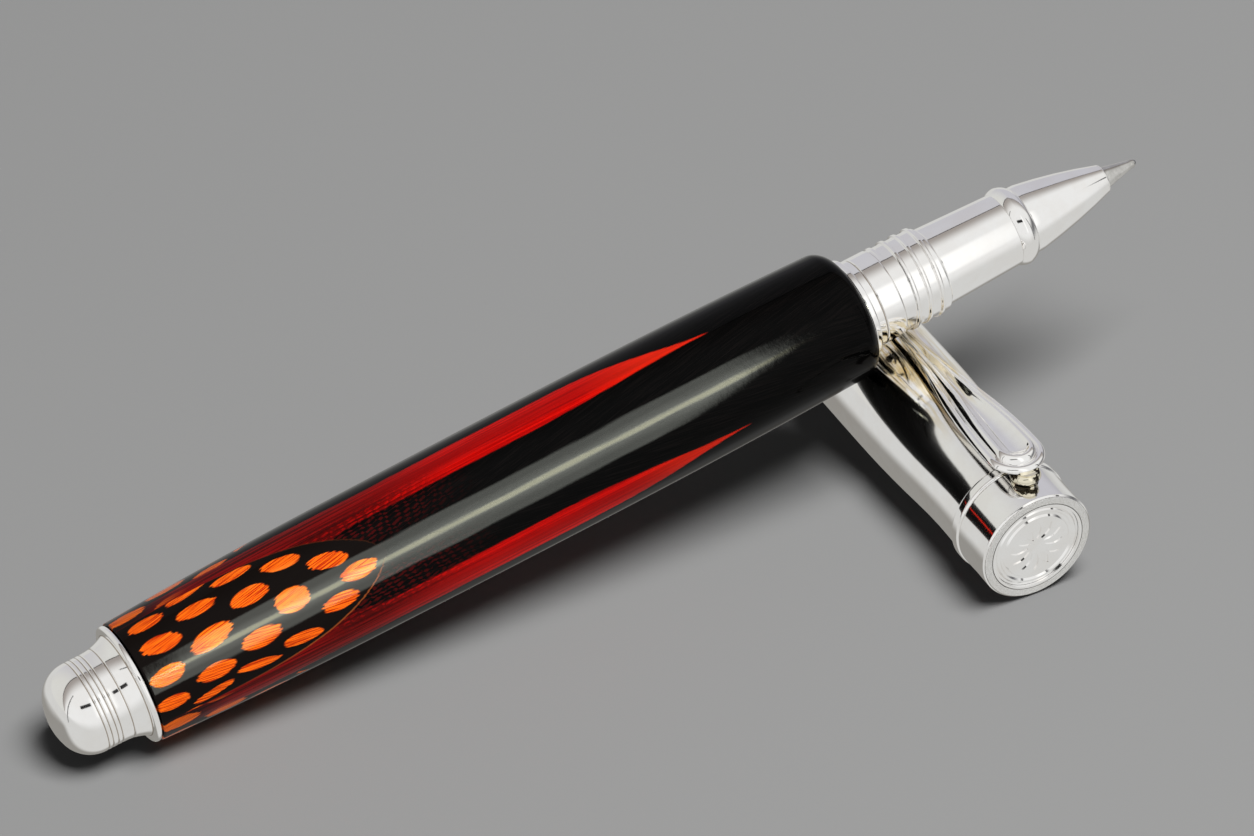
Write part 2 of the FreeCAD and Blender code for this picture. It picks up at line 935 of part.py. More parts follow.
def cap_thread_insert():
    """The threaded sleeve that the coupler's ridges screw into."""
    end = dim("cap_length") - dim("insert_recess")
    start = end - dim("insert_length") + dim("glue_gap")
    inner = dim("thread_crest") + dim("cap_thread_gap")
    return tube("cap_thread_insert", start, end, inner, dim("insert_radius") - dim("glue_gap"))


def cap_bushing():
    """The nut inside the closed end that the end piece screws into."""
    start = tube_start() + dim("glue_gap")
    inner = dim("end_stud_radius") + dim("glue_gap")
    outer = dim("cap_bore") - dim("glue_gap")
    return tube("cap_bushing", start, start + dim("cap_bushing_length"), inner, outer)


def cap_liner():
    """The inner cap that seals round the point, with a hole in its floor for the tip."""
    start = dim("end_length") + dim("end_stud_length") + dim("seam_gap")
    floor = start + dim("liner_floor")
    end = dim("cap_length") - dim("insert_recess") - dim("insert_length")
    outer = dim("cap_bore") - dim("glue_gap")
    corners = [
        straight(start, dim("liner_hole")),
        straight(start, outer),
        straight(end, outer),
        straight(end, dim("liner_radius")),
        straight(floor, dim("liner_radius")),
        straight(floor, dim("liner_hole")),
    ]
    return turned("cap_liner", corners)


# ---- clip ---------------------------------------------------------------------------------------

def teardrop(sketch, centre, lobe, tail_start, tail, tail_length):
    """A round lobe that narrows in an S to a parallel tail with a round end."""
    half_run = (tail_start - centre) / 2
    half_drop = (lobe - tail) / 2
    sweep = (half_run * half_run + half_drop * half_drop) / (half_drop * 2)
    middle = centre + half_run
    middle_width = lobe - half_drop
    tail_end = tail_start + tail_length
    corners = [
        bend(centre - lobe, 0, lobe, "left"),
        bend(centre, lobe, lobe, "left"),
        bend(middle, middle_width, sweep, "left"),
        bend(tail_start, tail, sweep, "right"),
        straight(tail_end, tail),
        bend(tail_end + tail, 0, tail, "left"),
        bend(tail_end, -tail, tail, "left"),
        straight(tail_start, -tail),
        bend(middle, -middle_width, sweep, "right"),
        bend(centre, -lobe, sweep, "left"),
    ]
    draw_outline(sketch, corners)


def clip_side():
    """The clip seen from the side: a low crown, a long falling back and a foot on the tube."""
    top = dim("clip_top")
    top_station = dim("clip_top_station")
    back = dim("clip_back_station")
    back_round = dim("clip_back_round")
    shoulder = dim("clip_back_shoulder")
    crown = dim("clip_top_bend")
    lobe_end = dim("clip_lobe_centre") - dim("clip_lobe")
    tip = dim("clip_tail_start") + dim("clip_tail_length") + dim("clip_tail")
    foot = dim("clip_foot_height")
    foot_back = tip - dim("clip_foot_length")
    rise = dim("clip_foot_rise")
    return [
        straight(dim("clip_underside_back"), dim("clip_underside")),
        bend(lobe_end, dim("clip_underside") + back_round, back_round, "left"),
        bend(back, top - drop_of(dim("clip_back_bend"), top_station - back), shoulder, "left"),
        bend(top_station, top, dim("clip_back_bend"), "left"),
        bend(tip, top - drop_of(crown, tip - top_station), crown, "left"),
        straight(tip, foot),
        straight(foot_back, foot),
        straight(foot_back - rise, foot + rise),
        straight(dim("clip_underside_front"), dim("clip_underside")),
    ]


def clip():
    """The clip's leaf: its side and its plan give one solid, with a sunk panel on top."""
    body = new_body("clip")
    side = new_sketch(body, "Side", "XZ_Plane")
    draw_outline(side, clip_side())
    leaf = pad(body, "Leaf", side, (dim("clip_lobe") + dim("clearance")) * 2)
    leaf.Midplane = True
    lobe = dim("clip_lobe_centre")
    tail_start = dim("clip_tail_start")
    margin = dim("clip_lobe") + dim("clearance") * 2
    tip = tail_start + dim("clip_tail_length") + dim("clip_tail") + dim("clearance")
    plan = new_sketch(body, "Plan", "XY_Plane")
    draw_outline(plan, [
        straight(lobe - margin, -margin),
        straight(tip, -margin),
        straight(tip, margin),
        straight(lobe - margin, margin),
    ])
    teardrop(plan, lobe, dim("clip_lobe"), tail_start, dim("clip_tail"), dim("clip_tail_length"))
    pocket(body, "Trim", plan, dim("clip_top") + dim("clearance"), reverse=True)
    body.Tip = pocket(body, "Sunk", clip_panel(body), dim("clearance"), reverse=True)
    return body


def clip_panel(body):
    """The sunk panel's outline, on a plane that leans with the clip's falling back."""
    panel = new_sketch(body, "Panel", "XY_Plane", dim("clip_top") - dim("panel_depth"))
    slope = dim("panel_slope")
    base = panel.AttachmentOffset.Base
    panel.AttachmentOffset = FreeCAD.Placement(base, turn((0, 1, 0), slope.value))
    panel.setExpression("AttachmentOffset.Rotation.Angle", slope.text)
    panel.setExpression("AttachmentOffset.Base.x", dim("panel_centre").text)
    tail_start = dim("panel_tail_start") - dim("panel_centre")
    teardrop(panel, size(0), dim("panel_lobe"), tail_start, dim("panel_tail"), dim("panel_tail_length"))
    return panel


def clip_post():
    """The post that stands on the end piece and carries the clip, with its screw below."""
    body = new_body("clip_post")
    foot = new_sketch(body, "Foot", "XY_Plane", dim("post_seat"))
    draw_circle(foot, dim("post_station"), dim("post_radius"))
    pad(body, "Post", foot, dim("clip_underside") - dim("post_seat") - dim("glue_gap"))
    screw = new_sketch(body, "Screw", "XY_Plane", dim("post_screw_foot"))
    draw_circle(screw, dim("post_station"), dim("post_screw"))
    body.Tip = pad(body, "ScrewShank", screw, dim("post_seat") - dim("post_screw_foot"))
    return body


# ---- assembly -----------------------------------------------------------------------------------

PEN_PIECES = (
    finial, rear_bushing, barrel_tube, feather_wrap, resin_barrel, coupler_ring, front_coupler,
    refill_spring, grip_section, grip_bead, nose_cone, refill_plug, refill_tube, ink_fibre,
    refill_feed, refill_tip, writing_ball,
)
CAP_PIECES = (
    cap_finial, cap_medallion, cap_ring, cap_tube, cap_thread_insert, cap_bushing, cap_liner, clip,
    clip_post,
)


def lowest(bodies, rotation):
    """How far below its own origin a turned group reaches."""
    placement = FreeCAD.Placement(FreeCAD.Vector(), rotation)
    return min(placed(body.Shape, placement).optimalBoundingBox().ZMin for body in bodies)


def placed(shape, placement):
    copy = shape.copy()
    copy.Placement = placement.multiply(shape.Placement)
    return copy


def lay_down(pen, cap):
    """Tilt the pen, lay the cap across under it, stand both on the table and centre the whole."""
    pen_turn = turn((0, 1, 0), -dim("rest_tilt").value)
    level = turn((0, 1, 0), -dim("cap_tilt").value)
    cap_turn = turn((0, 0, 1), dim("cap_yaw").value) * level * turn((1, 0, 0), dim("clip_roll").value)
    crossing = pen_turn.multVec(FreeCAD.Vector(dim("crossing_station").value, 0, 0))
    reach = cap_turn.multVec(FreeCAD.Vector(dim("crossing_reach").value, 0, 0))
    pen_base = FreeCAD.Vector(0, 0, -lowest(pen, pen_turn))
    cap_base = FreeCAD.Vector(crossing.x - reach.x, -reach.y, -lowest(cap, cap_turn))
    places = [(body, FreeCAD.Placement(pen_base, pen_turn)) for body in pen]
    places += [(body, FreeCAD.Placement(cap_base, cap_turn)) for body in cap]
    whole = Part.makeCompound([placed(body.Shape, place) for body, place in places])
    box = whole.optimalBoundingBox()
    centre = FreeCAD.Vector(-box.Center.x, -box.Center.y, 0)
    for body, place in places:
        body.Placement = FreeCAD.Placement(place.Base + centre, place.Rotation)
    document.recompute()
    print("pen placement", pen[0].Placement)
    print("cap placement", cap[0].Placement)


def check(bodies):
    for item in document.Objects:
        if "Invalid" in item.State or "Error" in item.State:
            raise RuntimeError(f"{item.Name} failed: {item.State}")
    for body in bodies:
        shape = body.Shape
        if shape.isNull() or not shape.isValid() or len(shape.Solids) != 1:
            raise RuntimeError(f"{body.Label} is not one sound solid")


def main():
    fill_sheet()
    pen = [make() for make in PEN_PIECES]
    cap = [make() for make in CAP_PIECES]
    document.recompute()
    check(pen + cap)
    lay_down(pen, cap)
    check(pen + cap)
    os.makedirs("parts", exist_ok=True)
    for body in pen + cap:
        body.Shape.exportStep(f"parts/{body.Label}.step")


main()
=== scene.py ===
import json
import math

import bmesh
import bpy
import numpy as np
from mathutils import Matrix, Vector


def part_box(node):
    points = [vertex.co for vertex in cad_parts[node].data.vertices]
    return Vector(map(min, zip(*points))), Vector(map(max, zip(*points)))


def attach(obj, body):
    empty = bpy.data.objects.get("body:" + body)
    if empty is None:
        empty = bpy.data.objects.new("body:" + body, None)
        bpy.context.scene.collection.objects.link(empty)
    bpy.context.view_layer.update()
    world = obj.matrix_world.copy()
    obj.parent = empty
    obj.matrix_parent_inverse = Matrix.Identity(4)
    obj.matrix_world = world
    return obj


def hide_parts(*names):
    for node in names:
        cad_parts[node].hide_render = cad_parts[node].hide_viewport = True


# A feather-and-resin rollerball lying across its own cap. Turned pieces are made again as fine
# lathe meshes from the same outlines as the CAD, in millimetres along the pen's or the cap's axis.
# An outline's corner is (station, radius), or (station, radius, bend, side) at the end of an arc.

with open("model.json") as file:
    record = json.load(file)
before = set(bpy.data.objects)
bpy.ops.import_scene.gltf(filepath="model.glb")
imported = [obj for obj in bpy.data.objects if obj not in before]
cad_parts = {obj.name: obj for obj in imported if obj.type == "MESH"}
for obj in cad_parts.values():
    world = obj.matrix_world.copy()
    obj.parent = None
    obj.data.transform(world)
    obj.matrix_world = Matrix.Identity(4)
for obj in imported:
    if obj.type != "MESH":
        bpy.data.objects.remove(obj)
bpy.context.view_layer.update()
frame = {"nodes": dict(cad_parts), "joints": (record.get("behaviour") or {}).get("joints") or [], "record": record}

MM = 0.001
SEGMENTS = 192
PEN_LENGTH = 131.0
BALL_RADIUS = 0.35
END_FACE_POINT = -5.65

joints = {joint["name"]: joint for joint in frame["joints"]}
mounts = {mount["name"]: mount for mount in frame["record"]["mounts"]}


def lathe_frame(start, along, up):
    """The matrix from lathe millimetres (station, across, up) to the model's metres."""
    across = up.cross(along).normalized()
    turn = Matrix((along, across, up)).transposed().to_4x4()
    return Matrix.Translation(start) @ turn @ Matrix.Scale(MM, 4)


pen_axis = Vector(joints["refill_feed_out"]["axis"]).normalized()
pen_up = pen_axis.cross(Vector((0, 1, 0))).normalized()
ball_centre = Vector(joints["ball_roll"]["pos_m"])
PEN = lathe_frame(ball_centre - pen_axis * (PEN_LENGTH - BALL_RADIUS) * MM, pen_axis, pen_up)
cap_axis = -Vector(mounts["cap_end_face"]["axis"]).normalized()
cap_up = -Vector(mounts["pocket_clip"]["axis"]).normalized()
cap_start = Vector(mounts["cap_end_face"]["pos_m"]) - cap_up * END_FACE_POINT * MM
CAP = lathe_frame(cap_start, cap_axis, cap_up)


# ---- outlines -----------------------------------------------------------------------------------

def drop_of(bend, run):
    """How far a circle falls away from its tangent over a run."""
    return bend - math.sqrt(bend * bend - run * run)


def arc_between(start, end, radius, side):
    """Points on a short arc after its start, bulging left or right of the way it is drawn."""
    start, end = np.array(start, float), np.array(end, float)
    chord = end - start
    half = np.linalg.norm(chord) / 2
    normal = np.array((-chord[1], chord[0])) / (2 * half)
    if side == "right":
        normal = -normal
    height = math.sqrt(max(radius * radius - half * half, 0))
    centre = (start + end) / 2 - normal * height
    angle = 2 * math.asin(min(half / radius, 1))
    steps = max(2, math.ceil(math.degrees(angle) / 5), math.ceil(half * 2 / 2.5))
    first = math.atan2(*(start - centre)[::-1])
    sweep = -angle if side == "left" else angle
    turns = [first + sweep * step / steps for step in range(1, steps)]
    return [tuple(centre + radius * np.array((math.cos(t), math.sin(t)))) for t in turns] + [tuple(end)]


def sampled(corners, closed):
    """The outline as points, each with a mark that says whether it is a drawn corner."""
    points = []
    for number, corner in enumerate(corners):
        if number == 0 and not closed:
            points.append((corner[:2], True))
            continue
        before = corners[number - 1][:2]
        if len(corner) == 4:
            run = arc_between(before, corner[:2], corner[2], corner[3])
            points += [(point, False) for point in run[:-1]]
        points.append((corner[:2], True))
    return points


def eased(corners, closed=True, ease=0.05):
    """The outline with a tiny round on each sharp corner. Returns points and how hollow each one is."""
    marked = sampled(corners, closed)
    points = [np.array(point, float) for point, _ in marked]
    count = len(points)
    out, hollow = [], []
    for number, point in enumerate(points):
        ends = not closed and number in (0, count - 1)
        before, after = points[number - 1], points[(number + 1) % count]
        back, ahead = point - before, after - point
        back_length, ahead_length = np.linalg.norm(back), np.linalg.norm(ahead)
        bend = 0.0
        if not ends and back_length > 1e-9 and ahead_length > 1e-9:
            cross = back[0] * ahead[1] - back[1] * ahead[0]
            bend = math.degrees(math.atan2(cross, back @ ahead))
        if ends or abs(bend) < 14:
            out.append(point)
            hollow.append(0.0)
            continue
        trim = min(ease, back_length * 0.3, ahead_length * 0.3)
        start, end = point - back / back_length * trim, point + ahead / ahead_length * trim
        inward = 1.0 if bend > 0 else 0.0
        lead = min(trim, back_length * 0.15)
        out.append(start - back / back_length * lead)
        hollow.append(0.0)
        for step in range(5):
            t = step / 4
            out.append((1 - t) ** 2 * start + 2 * t * (1 - t) * point + t * t * end)
            hollow.append(inward)
        lead = min(trim, ahead_length * 0.15)
        out.append(end + ahead / ahead_length * lead)
        hollow.append(0.0)
    return out, hollow


# ---- meshes -------------------------------------------------------------------------------------

def finished(name, vertices, faces, place, hollow=None):
    """A closed smooth mesh object from lathe-millimetre vertices."""
    mesh = bpy.data.meshes.new(name)
    mesh.from_pydata([tuple(place @ Vector(vertex)) for vertex in vertices], [], faces)
    if hollow is not None:
        mesh.attributes.new("hollow", "FLOAT", "POINT").data.foreach_set("value", hollow)
    work = bmesh.new()
    work.from_mesh(mesh)
    bmesh.ops.remove_doubles(work, verts=work.verts, dist=1e-9)
    bmesh.ops.recalc_face_normals(work, faces=work.faces)
    if work.calc_volume(signed=True) < 0:
        bmesh.ops.reverse_faces(work, faces=work.faces)
    work.to_mesh(mesh)
    work.free()
    mesh.polygons.foreach_set("use_smooth", [True] * len(mesh.polygons))
    mesh.update()
    piece = bpy.data.objects.new(name, mesh)
    bpy.context.scene.collection.objects.link(piece)
    return piece


def spun(points, hollow, closed, radius_of=None):
    """Vertices and faces of an outline swept round the first axis."""
    vertices, marks, rings = [], [], []
    for (station, radius), mark in zip(points, hollow):
        if radius < 1e-6:
            rings.append([len(vertices)] * SEGMENTS)
            vertices.append((station, 0, 0))
            marks.append(mark)
            continue
        rings.append(list(range(len(vertices), len(vertices) + SEGMENTS)))
        for segment in range(SEGMENTS):
            turn = 2 * math.pi * segment / SEGMENTS
            reach = radius_of(station, radius, turn) if radius_of else radius
            vertices.append((station, reach * math.sin(turn), reach * math.cos(turn)))
            marks.append(mark)
    faces = []
    for number in range(len(rings) if closed else len(rings) - 1):
        ring, after = rings[number], rings[(number + 1) % len(rings)]
        for segment in range(SEGMENTS):
            following = (segment + 1) % SEGMENTS
            corners = (ring[segment], ring[following], after[following], after[segment])
            corners = tuple(dict.fromkeys(corners))
            if len(corners) > 2:
                faces.append(corners)
    return vertices, faces, marks


def settle(piece, body, nodes, slot, material):
    """Give a piece its material, its body and the CAD nodes it replaces. The slot is not used."""
    piece.data.materials.append(material)
    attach(piece, body)
    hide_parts(*nodes)


def turned(name, corners, place, closed=True, ease=0.05, radius_of=None):
    """A lathe piece. Its outline is closed, or open with both ends on the axis."""
    points, hollow = eased(corners, closed, ease)
    vertices, faces, marks = spun(points, hollow, closed, radius_of)
    return finished(name, vertices, faces, place, marks)


# ---- pen outlines, in millimetres from the tip of the rear finial --------------------------------

ENGRAVING = 0.13
ENGRAVING_HALF = 0.11
GLUE = 0.02
SEAM = 0.05
BARREL_START, BARREL_END = 9.5, 95.15
TUBE_BORE, TUBE_RADIUS = 5.3, 5.7
COUPLER_END = BARREL_END + 9.8
GRIP_START = COUPLER_END + SEAM
GRIP_END = GRIP_START + 9.2
BEAD_END = GRIP_END + 2.25
NOSE_END = BEAD_END + 10.4


def finial_outline():
    crown, shoulder, radius = 7.0, 3.6, 4.93
    rise = radius - shoulder
    reach = math.sqrt((crown - shoulder) ** 2 - rise ** 2)
    spread = crown / (crown - shoulder)
    corners = [
        (0, 0), (crown - reach * spread, rise * spread, crown, "left"),
        (crown - reach, radius, shoulder, "left"),
    ]
    for start in (4.0, 4.5, 5.1, 5.6):
        corners += [
            (start, radius), (start + ENGRAVING_HALF, radius - ENGRAVING),
            (start + ENGRAVING_HALF * 2, radius),
        ]
    waist, bend, lip, length, line = 6.0, 5.6, 8.7, 9.45, 7.0
    base = 6.58 - 0.45
    half = (length - lip) / 2
    before, after = line - ENGRAVING_HALF, line + ENGRAVING_HALF
    return corners + [
        (waist, radius), (before, radius + drop_of(bend, before - waist), bend, "right"),
        (line, radius + drop_of(bend, line - waist) - ENGRAVING),
        (after, radius + drop_of(bend, after - waist)),
        (lip, radius + drop_of(bend, lip - waist), bend, "right"), (lip, base),
        (lip + half, base + half, half, "left"), (length, base, half, "left"), (length, 3.4),
        (length + 5.85, 3.4), (length + 5.85, 0),
    ]


def barrel_outline():
    start, belly, radius, belly_bend = BARREL_START, 67.1, 7.5, 2900.0
    swell_end = start + 23.5
    edge, rear = 0.2, 6.58
    shoulder, taper, back = 2.0, 870.0, 1.95
    run = BARREL_END - back - belly
    height = radius - taper + math.sqrt((taper - shoulder) ** 2 - run ** 2)
    fall = height - radius + taper
    spread = taper / (taper - shoulder)
    bore = TUBE_RADIUS + GLUE * 2 + 0.1
    lip = BARREL_END - 1.15
    return [
        (start, bore), (start, rear - edge), (start + edge, rear, edge, "left"),
        (swell_end, radius - drop_of(belly_bend, belly - swell_end), 620.0, "left"),
        (belly, radius, belly_bend, "left"),
        (belly + run * spread, radius - taper + fall * spread, taper, "left"),
        (BARREL_END, height + math.sqrt(shoulder ** 2 - back ** 2), shoulder, "left"),
        (BARREL_END, TUBE_BORE), (lip, TUBE_BORE), (lip, bore),
    ]


def flange_outline(start, width, radius, edge, inner):
    end = start + width
    return [
        (start, inner), (start, radius - edge), (start + edge, radius, edge, "left"),
        (end - edge, radius), (end, radius - edge, edge, "left"), (end, inner),
    ]


NECK, BORE, ROOT, CREST = 4.88, 3.85, 4.72, 4.95
THREAD_PITCH, THREAD_START, THREAD_TURNS = 1.5, BARREL_END + 4.2, 3.6


def coupler_outline():
    face, edge = BARREL_END, 0.2
    insert = TUBE_BORE - GLUE
    line = face + 1.75
    corners = [
        (face - 9.6, BORE), (face - 9.6, insert), (face - SEAM, insert), (face - SEAM, NECK),
        (line - ENGRAVING_HALF, NECK), (line, NECK - ENGRAVING), (line + ENGRAVING_HALF, NECK),
        (THREAD_START - 0.2, NECK), (THREAD_START - 0.05, ROOT),
    ]
    step = 0.045
    run = COUPLER_END - edge - THREAD_START
    count = int(run / step)
    corners += [(THREAD_START + run * number / count, ROOT) for number in range(count + 1)]
    return corners + [(COUPLER_END, ROOT - edge, edge, "left"), (COUPLER_END, BORE)]


def smooth_step(low, high, value):
    t = min(max((value - low) / (high - low), 0), 1)
    return t * t * (3 - 2 * t)


def thread_ridge(station, turn, start, turns, pitch):
    """How far up a raised screw thread stands, from 0 at its root to 1 on its crest."""
    along = (station - start) / pitch - turn / (2 * math.pi)
    phase = along - math.floor(along)
    wound = math.floor(along) + turn / (2 * math.pi)
    ends = smooth_step(-0.02, 0.2, wound) * (1 - smooth_step(turns - 0.2, turns, wound))
    return smooth_step(0.05, 0.16, phase) * (1 - smooth_step(0.32, 0.43, phase)) * ends


def coupler_radius(station, radius, turn):
    if station < THREAD_START or abs(radius - ROOT) > 1e-6:
        return radius
    return radius + (CREST - ROOT) * thread_ridge(station, turn, THREAD_START, THREAD_TURNS, THREAD_PITCH)


def grip_outline():
    edge = 0.2
    tenon = BORE - 0.07
    socket = 3.0 + GLUE
    floor = GRIP_END - 3.1 - GLUE
    seat = GRIP_START + 2.4
    return [
        (GRIP_START - 8.0, 3.18), (GRIP_START - 8.0, tenon), (GRIP_START, tenon),
        (GRIP_START, 4.38 - edge), (GRIP_START + edge, 4.38, edge, "left"), (GRIP_END, 4.05),
        (GRIP_END, socket), (floor, socket), (floor, 2.62), (seat, 2.62), (seat, 3.18),
    ]


def bead_outline():
    return [
        (GRIP_END, 3.02), (GRIP_END, 4.05), (GRIP_END + 1.0, 4.42, 1.9, "left"),
        (BEAD_END, 3.78, 1.9, "left"), (BEAD_END, 3.02),
    ]


def nose_outline():
    edge, mouth, bore = 0.2, 1.62, 1.3
    cone_end = NOSE_END - 4.3
    return [
        (GRIP_END - 3.1, 2.62), (GRIP_END - 3.1, 3.0), (BEAD_END, 3.0), (BEAD_END, 3.78),
        (BEAD_END + 0.8, 3.78), (NOSE_END - edge, mouth, 60.0, "left"),
        (NOSE_END, mouth - edge, edge, "left"), (NOSE_END, bore), (cone_end, bore),
        (cone_end - 2.6, 2.62),
    ]


def tip_outline():
    front = PEN_LENGTH - 0.3
    cone = front - 3.5
    ball = PEN_LENGTH - BALL_RADIUS
    socket, channel = BALL_RADIUS + GLUE, 0.12
    rim = math.sqrt(socket ** 2 - (front - ball) ** 2)
    floor = math.sqrt(socket ** 2 - channel ** 2)
    return [
        (cone - 9.3, channel), (cone - 9.3, 1.15), (cone, 1.15), (front - 0.55, 0.5),
        (front, 0.43, 0.9, "left"), (front, rim), (ball, socket, socket, "right"),
        (ball - floor, channel, socket, "right"),
    ]


def ball_outline():
    centre = PEN_LENGTH - BALL_RADIUS
    return [
        (centre - BALL_RADIUS, 0), (centre, BALL_RADIUS, BALL_RADIUS, "left"),
        (centre + BALL_RADIUS, 0, BALL_RADIUS, "left"),
    ]


# ---- cap outlines, in millimetres from the closed end --------------------------------------------

END_RADIUS, END_LENGTH = 6.42, 5.1
TUBE_START = END_LENGTH + SEAM + 1.4 + GLUE
CAP_LENGTH = 42.5
POST_STATION = 3.4


def end_outline():
    bevel, stud = 0.25, 2.6
    stud_end = END_LENGTH + 3.0
    return [
        (1.0, 0), (1.0, 5.05), (0, 5.05), (0, END_RADIUS - bevel), (bevel, END_RADIUS),
        (END_LENGTH, END_RADIUS, 60.0, "right"), (END_LENGTH, stud), (stud_end, stud),
        (stud_end, 1.6), (stud_end - 2.2, 1.6), (stud_end - 2.2, 0),
    ]


def cap_tube_outline():
    start, end, narrow, flare = TUBE_START, CAP_LENGTH, 10.5, 15.5
    concave, convex, edge, bore = 70.0, 160.0, 0.25, 5.35
    run = (flare - narrow) * convex / concave
    flare_radius = 6.13 + drop_of(concave, flare - narrow)
    full = flare_radius + drop_of(convex, run)
    recess = end - 9.8
    return [
        (start, bore), (start, 6.13 + drop_of(concave, narrow - start)),
        (flare, flare_radius, concave, "right"), (flare + run, full, convex, "left"),
        (end - edge, full), (end, full - edge, edge, "left"), (end, 6.1), (recess, 6.1),
        (recess, bore),
    ]


INSERT_START, INSERT_END = CAP_LENGTH - 9.78, CAP_LENGTH - 0.3
INSERT_BORE = 5.25


def insert_outline():
    outer = 6.08
    step = 0.06
    run = INSERT_END - INSERT_START - 1.0
    count = int(run / step)
    inner = [(INSERT_END - 0.5 - run * number / count, INSERT_BORE) for number in range(count + 1)]
    return [
        (INSERT_START, INSERT_BORE), (INSERT_START, outer), (INSERT_END, outer),
        (INSERT_END, INSERT_BORE),
    ] + inner


def insert_radius(station, radius, turn):
    if radius > INSERT_BORE + 1e-6:
        return radius
    height = thread_ridge(station, turn, INSERT_START + 0.6, 5.4, THREAD_PITCH)
    return radius - 0.18 * height


# ---- clip ---------------------------------------------------------------------------------------

LOBE_CENTRE, LOBE, TAIL, TAIL_START, TAIL_END = 5.9, 3.3, 0.7, 31.0, 34.2


def s_curve(station, start, end, high, low):
    """The half width of a teardrop's side: two equal arcs from its lobe to its tail."""
    half_run, half_drop = (end - start) / 2, (high - low) / 2
    sweep = (half_run ** 2 + half_drop ** 2) / (2 * half_drop)
    if station <= start:
        return high
    if station >= end:
        return low
    if station < start + half_run:
        return high - drop_of(sweep, station - start)
    return low + drop_of(sweep, end - station)


def clip_top(station):
    if station >= 6.5:
        return 9.3 - drop_of(225.0, station - 6.5)
    return 9.3 - drop_of(32.0, 6.5 - station)


def clip_bottom(station):
    slope = (8.0 - 7.08) / (32.4 - 7.5)
    level = 8.0 - max(station - 7.5, 0) * slope
    return level - (level - 6.78) * smooth_step(32.2, 32.8, station)


def clip_plan():
    """Half of the clip's outline from the back of its lobe to its tip: place, inward way, reach."""
    half = []
    for step in range(37):
        turn = math.radians(90 * step / 36)
        way = (math.cos(turn), -math.sin(turn))
        place = (LOBE_CENTRE - LOBE * math.cos(turn), LOBE * math.sin(turn))
        half.append((place, way, LOBE))
    run = TAIL_START - LOBE_CENTRE
    for step in range(1, 90):
        station = LOBE_CENTRE + run * step / 90
        width = s_curve(station, LOBE_CENTRE, TAIL_START, LOBE, TAIL)
        tilt = (s_curve(station + 0.01, LOBE_CENTRE, TAIL_START, LOBE, TAIL) - width) / 0.01
        long = math.hypot(1, tilt)
        half.append(((station, width), (tilt / long, -1 / long), width * long))
    for step in range(12):
        half.append(((TAIL_START + (TAIL_END - TAIL_START) * step / 12, TAIL), (0, -1), TAIL))
    for step in range(13):
        turn = math.radians(90 * step / 12)
        place = (TAIL_END + TAIL * math.sin(turn), TAIL * math.cos(turn))
        half.append((place, (-math.sin(turn), -math.cos(turn)), TAIL))
    return half


# The clip's upper side, as how far in from its edge and how far below its crown: a low outer roll,
# a valley, a higher inner roll, and the rim of the dished panel in the middle.
CLIP_SECTION = (
    (0.0, 1.10), (0.02, 0.98), (0.08, 0.84), (0.19, 0.70), (0.34, 0.60), (0.52, 0.56),
    (0.70, 0.60), (0.82, 0.68), (0.90, 0.76), (0.94, 0.72), (0.98, 0.58), (1.06, 0.40),
    (1.18, 0.22), (1.34, 0.08), (1.52, 0.0), (1.68, 0.03), (1.80, 0.12), (1.88, 0.26),
)
CLIP_FULL_REACH = 2.5
CLIP_DISH = 0.78
CLIP_EDGE, CLIP_SIDE_START = 0.18, 0.2


def clip_rings():
    """Rings round the clip from under it, up its side, over its two rolls and down to its middle."""
    plan = clip_plan()
    plan += [((x, -y), (a, -b), reach) for (x, y), (a, b), reach in reversed(plan[1:-1])]
    rings = []

    def ring(inset, height):
        row = []
        for (x, y), (a, b), reach in plan:
            narrow = min(1, reach / CLIP_FULL_REACH)
            px, py = x + a * inset * narrow, y + b * inset * narrow
            row.append((px, py, height(px, narrow)))
        rings.append(row)

    for inset in (1.8, 1.2, 0.7, 0.4, 0.25):
        ring(inset, lambda x, narrow: clip_bottom(x))
    for turn in (15, 45, 75):
        lift = CLIP_EDGE * (1 - math.cos(math.radians(turn)))
        inset = CLIP_EDGE * (1 - math.sin(math.radians(turn)))
        ring(inset, lambda x, narrow, lift=lift: clip_bottom(x) + lift)

    def side(x, narrow, share):
        low, high = clip_bottom(x) + CLIP_SIDE_START, clip_top(x) - CLIP_SECTION[0][1] * narrow
        return low + (high - low) * share

    for share in (0.0, 0.05, 0.5, 0.95):
        ring(0.0, lambda x, narrow, share=share: side(x, narrow, share))
    for inset, drop in CLIP_SECTION:
        ring(inset, lambda x, narrow, drop=drop: clip_top(x) - drop * narrow)
    crest, rim = rings[-1], CLIP_SECTION[-1][1]
    for share in (0.12, 0.3, 0.5, 0.7, 0.85, 0.96):
        row = []
        sink = (CLIP_DISH - rim) * math.sin(share * math.pi / 2)
        for (x, y, _), (place, way, reach) in zip(crest, plan):
            middle = (place[0] + way[0] * reach, place[1] + way[1] * reach)
            px, py = x + (middle[0] - x) * share, y + (middle[1] - y) * share
            depth = rim * min(1, reach / CLIP_FULL_REACH) + sink * smooth_step(1.2, 2.8, reach)
            row.append((px, py, clip_top(px) - depth))
        rings.append(row)
    return rings


def clip_mesh():
    rings = clip_rings()
    count = len(rings[0])
    vertices = [point for row in rings for point in row]
    faces = []
    for number in range(len(rings) - 1):
        low, high = number * count, (number + 1) * count
        for step in range(count):
            after = (step + 1) % count
            faces.append((low + step, low + after, high + after, high + step))
    half = count // 2
    for base in (0, (len(rings) - 1) * count):
        for step in range(half):
            left, right = step, (count - step) % count
            quad = (base + left, base + left + 1, base + count - step - 1, base + right)
            quad = tuple(dict.fromkeys(quad))
            if len(quad) > 2:
                faces.append(quad)
    return finished("clip_leaf", vertices, faces, CAP)


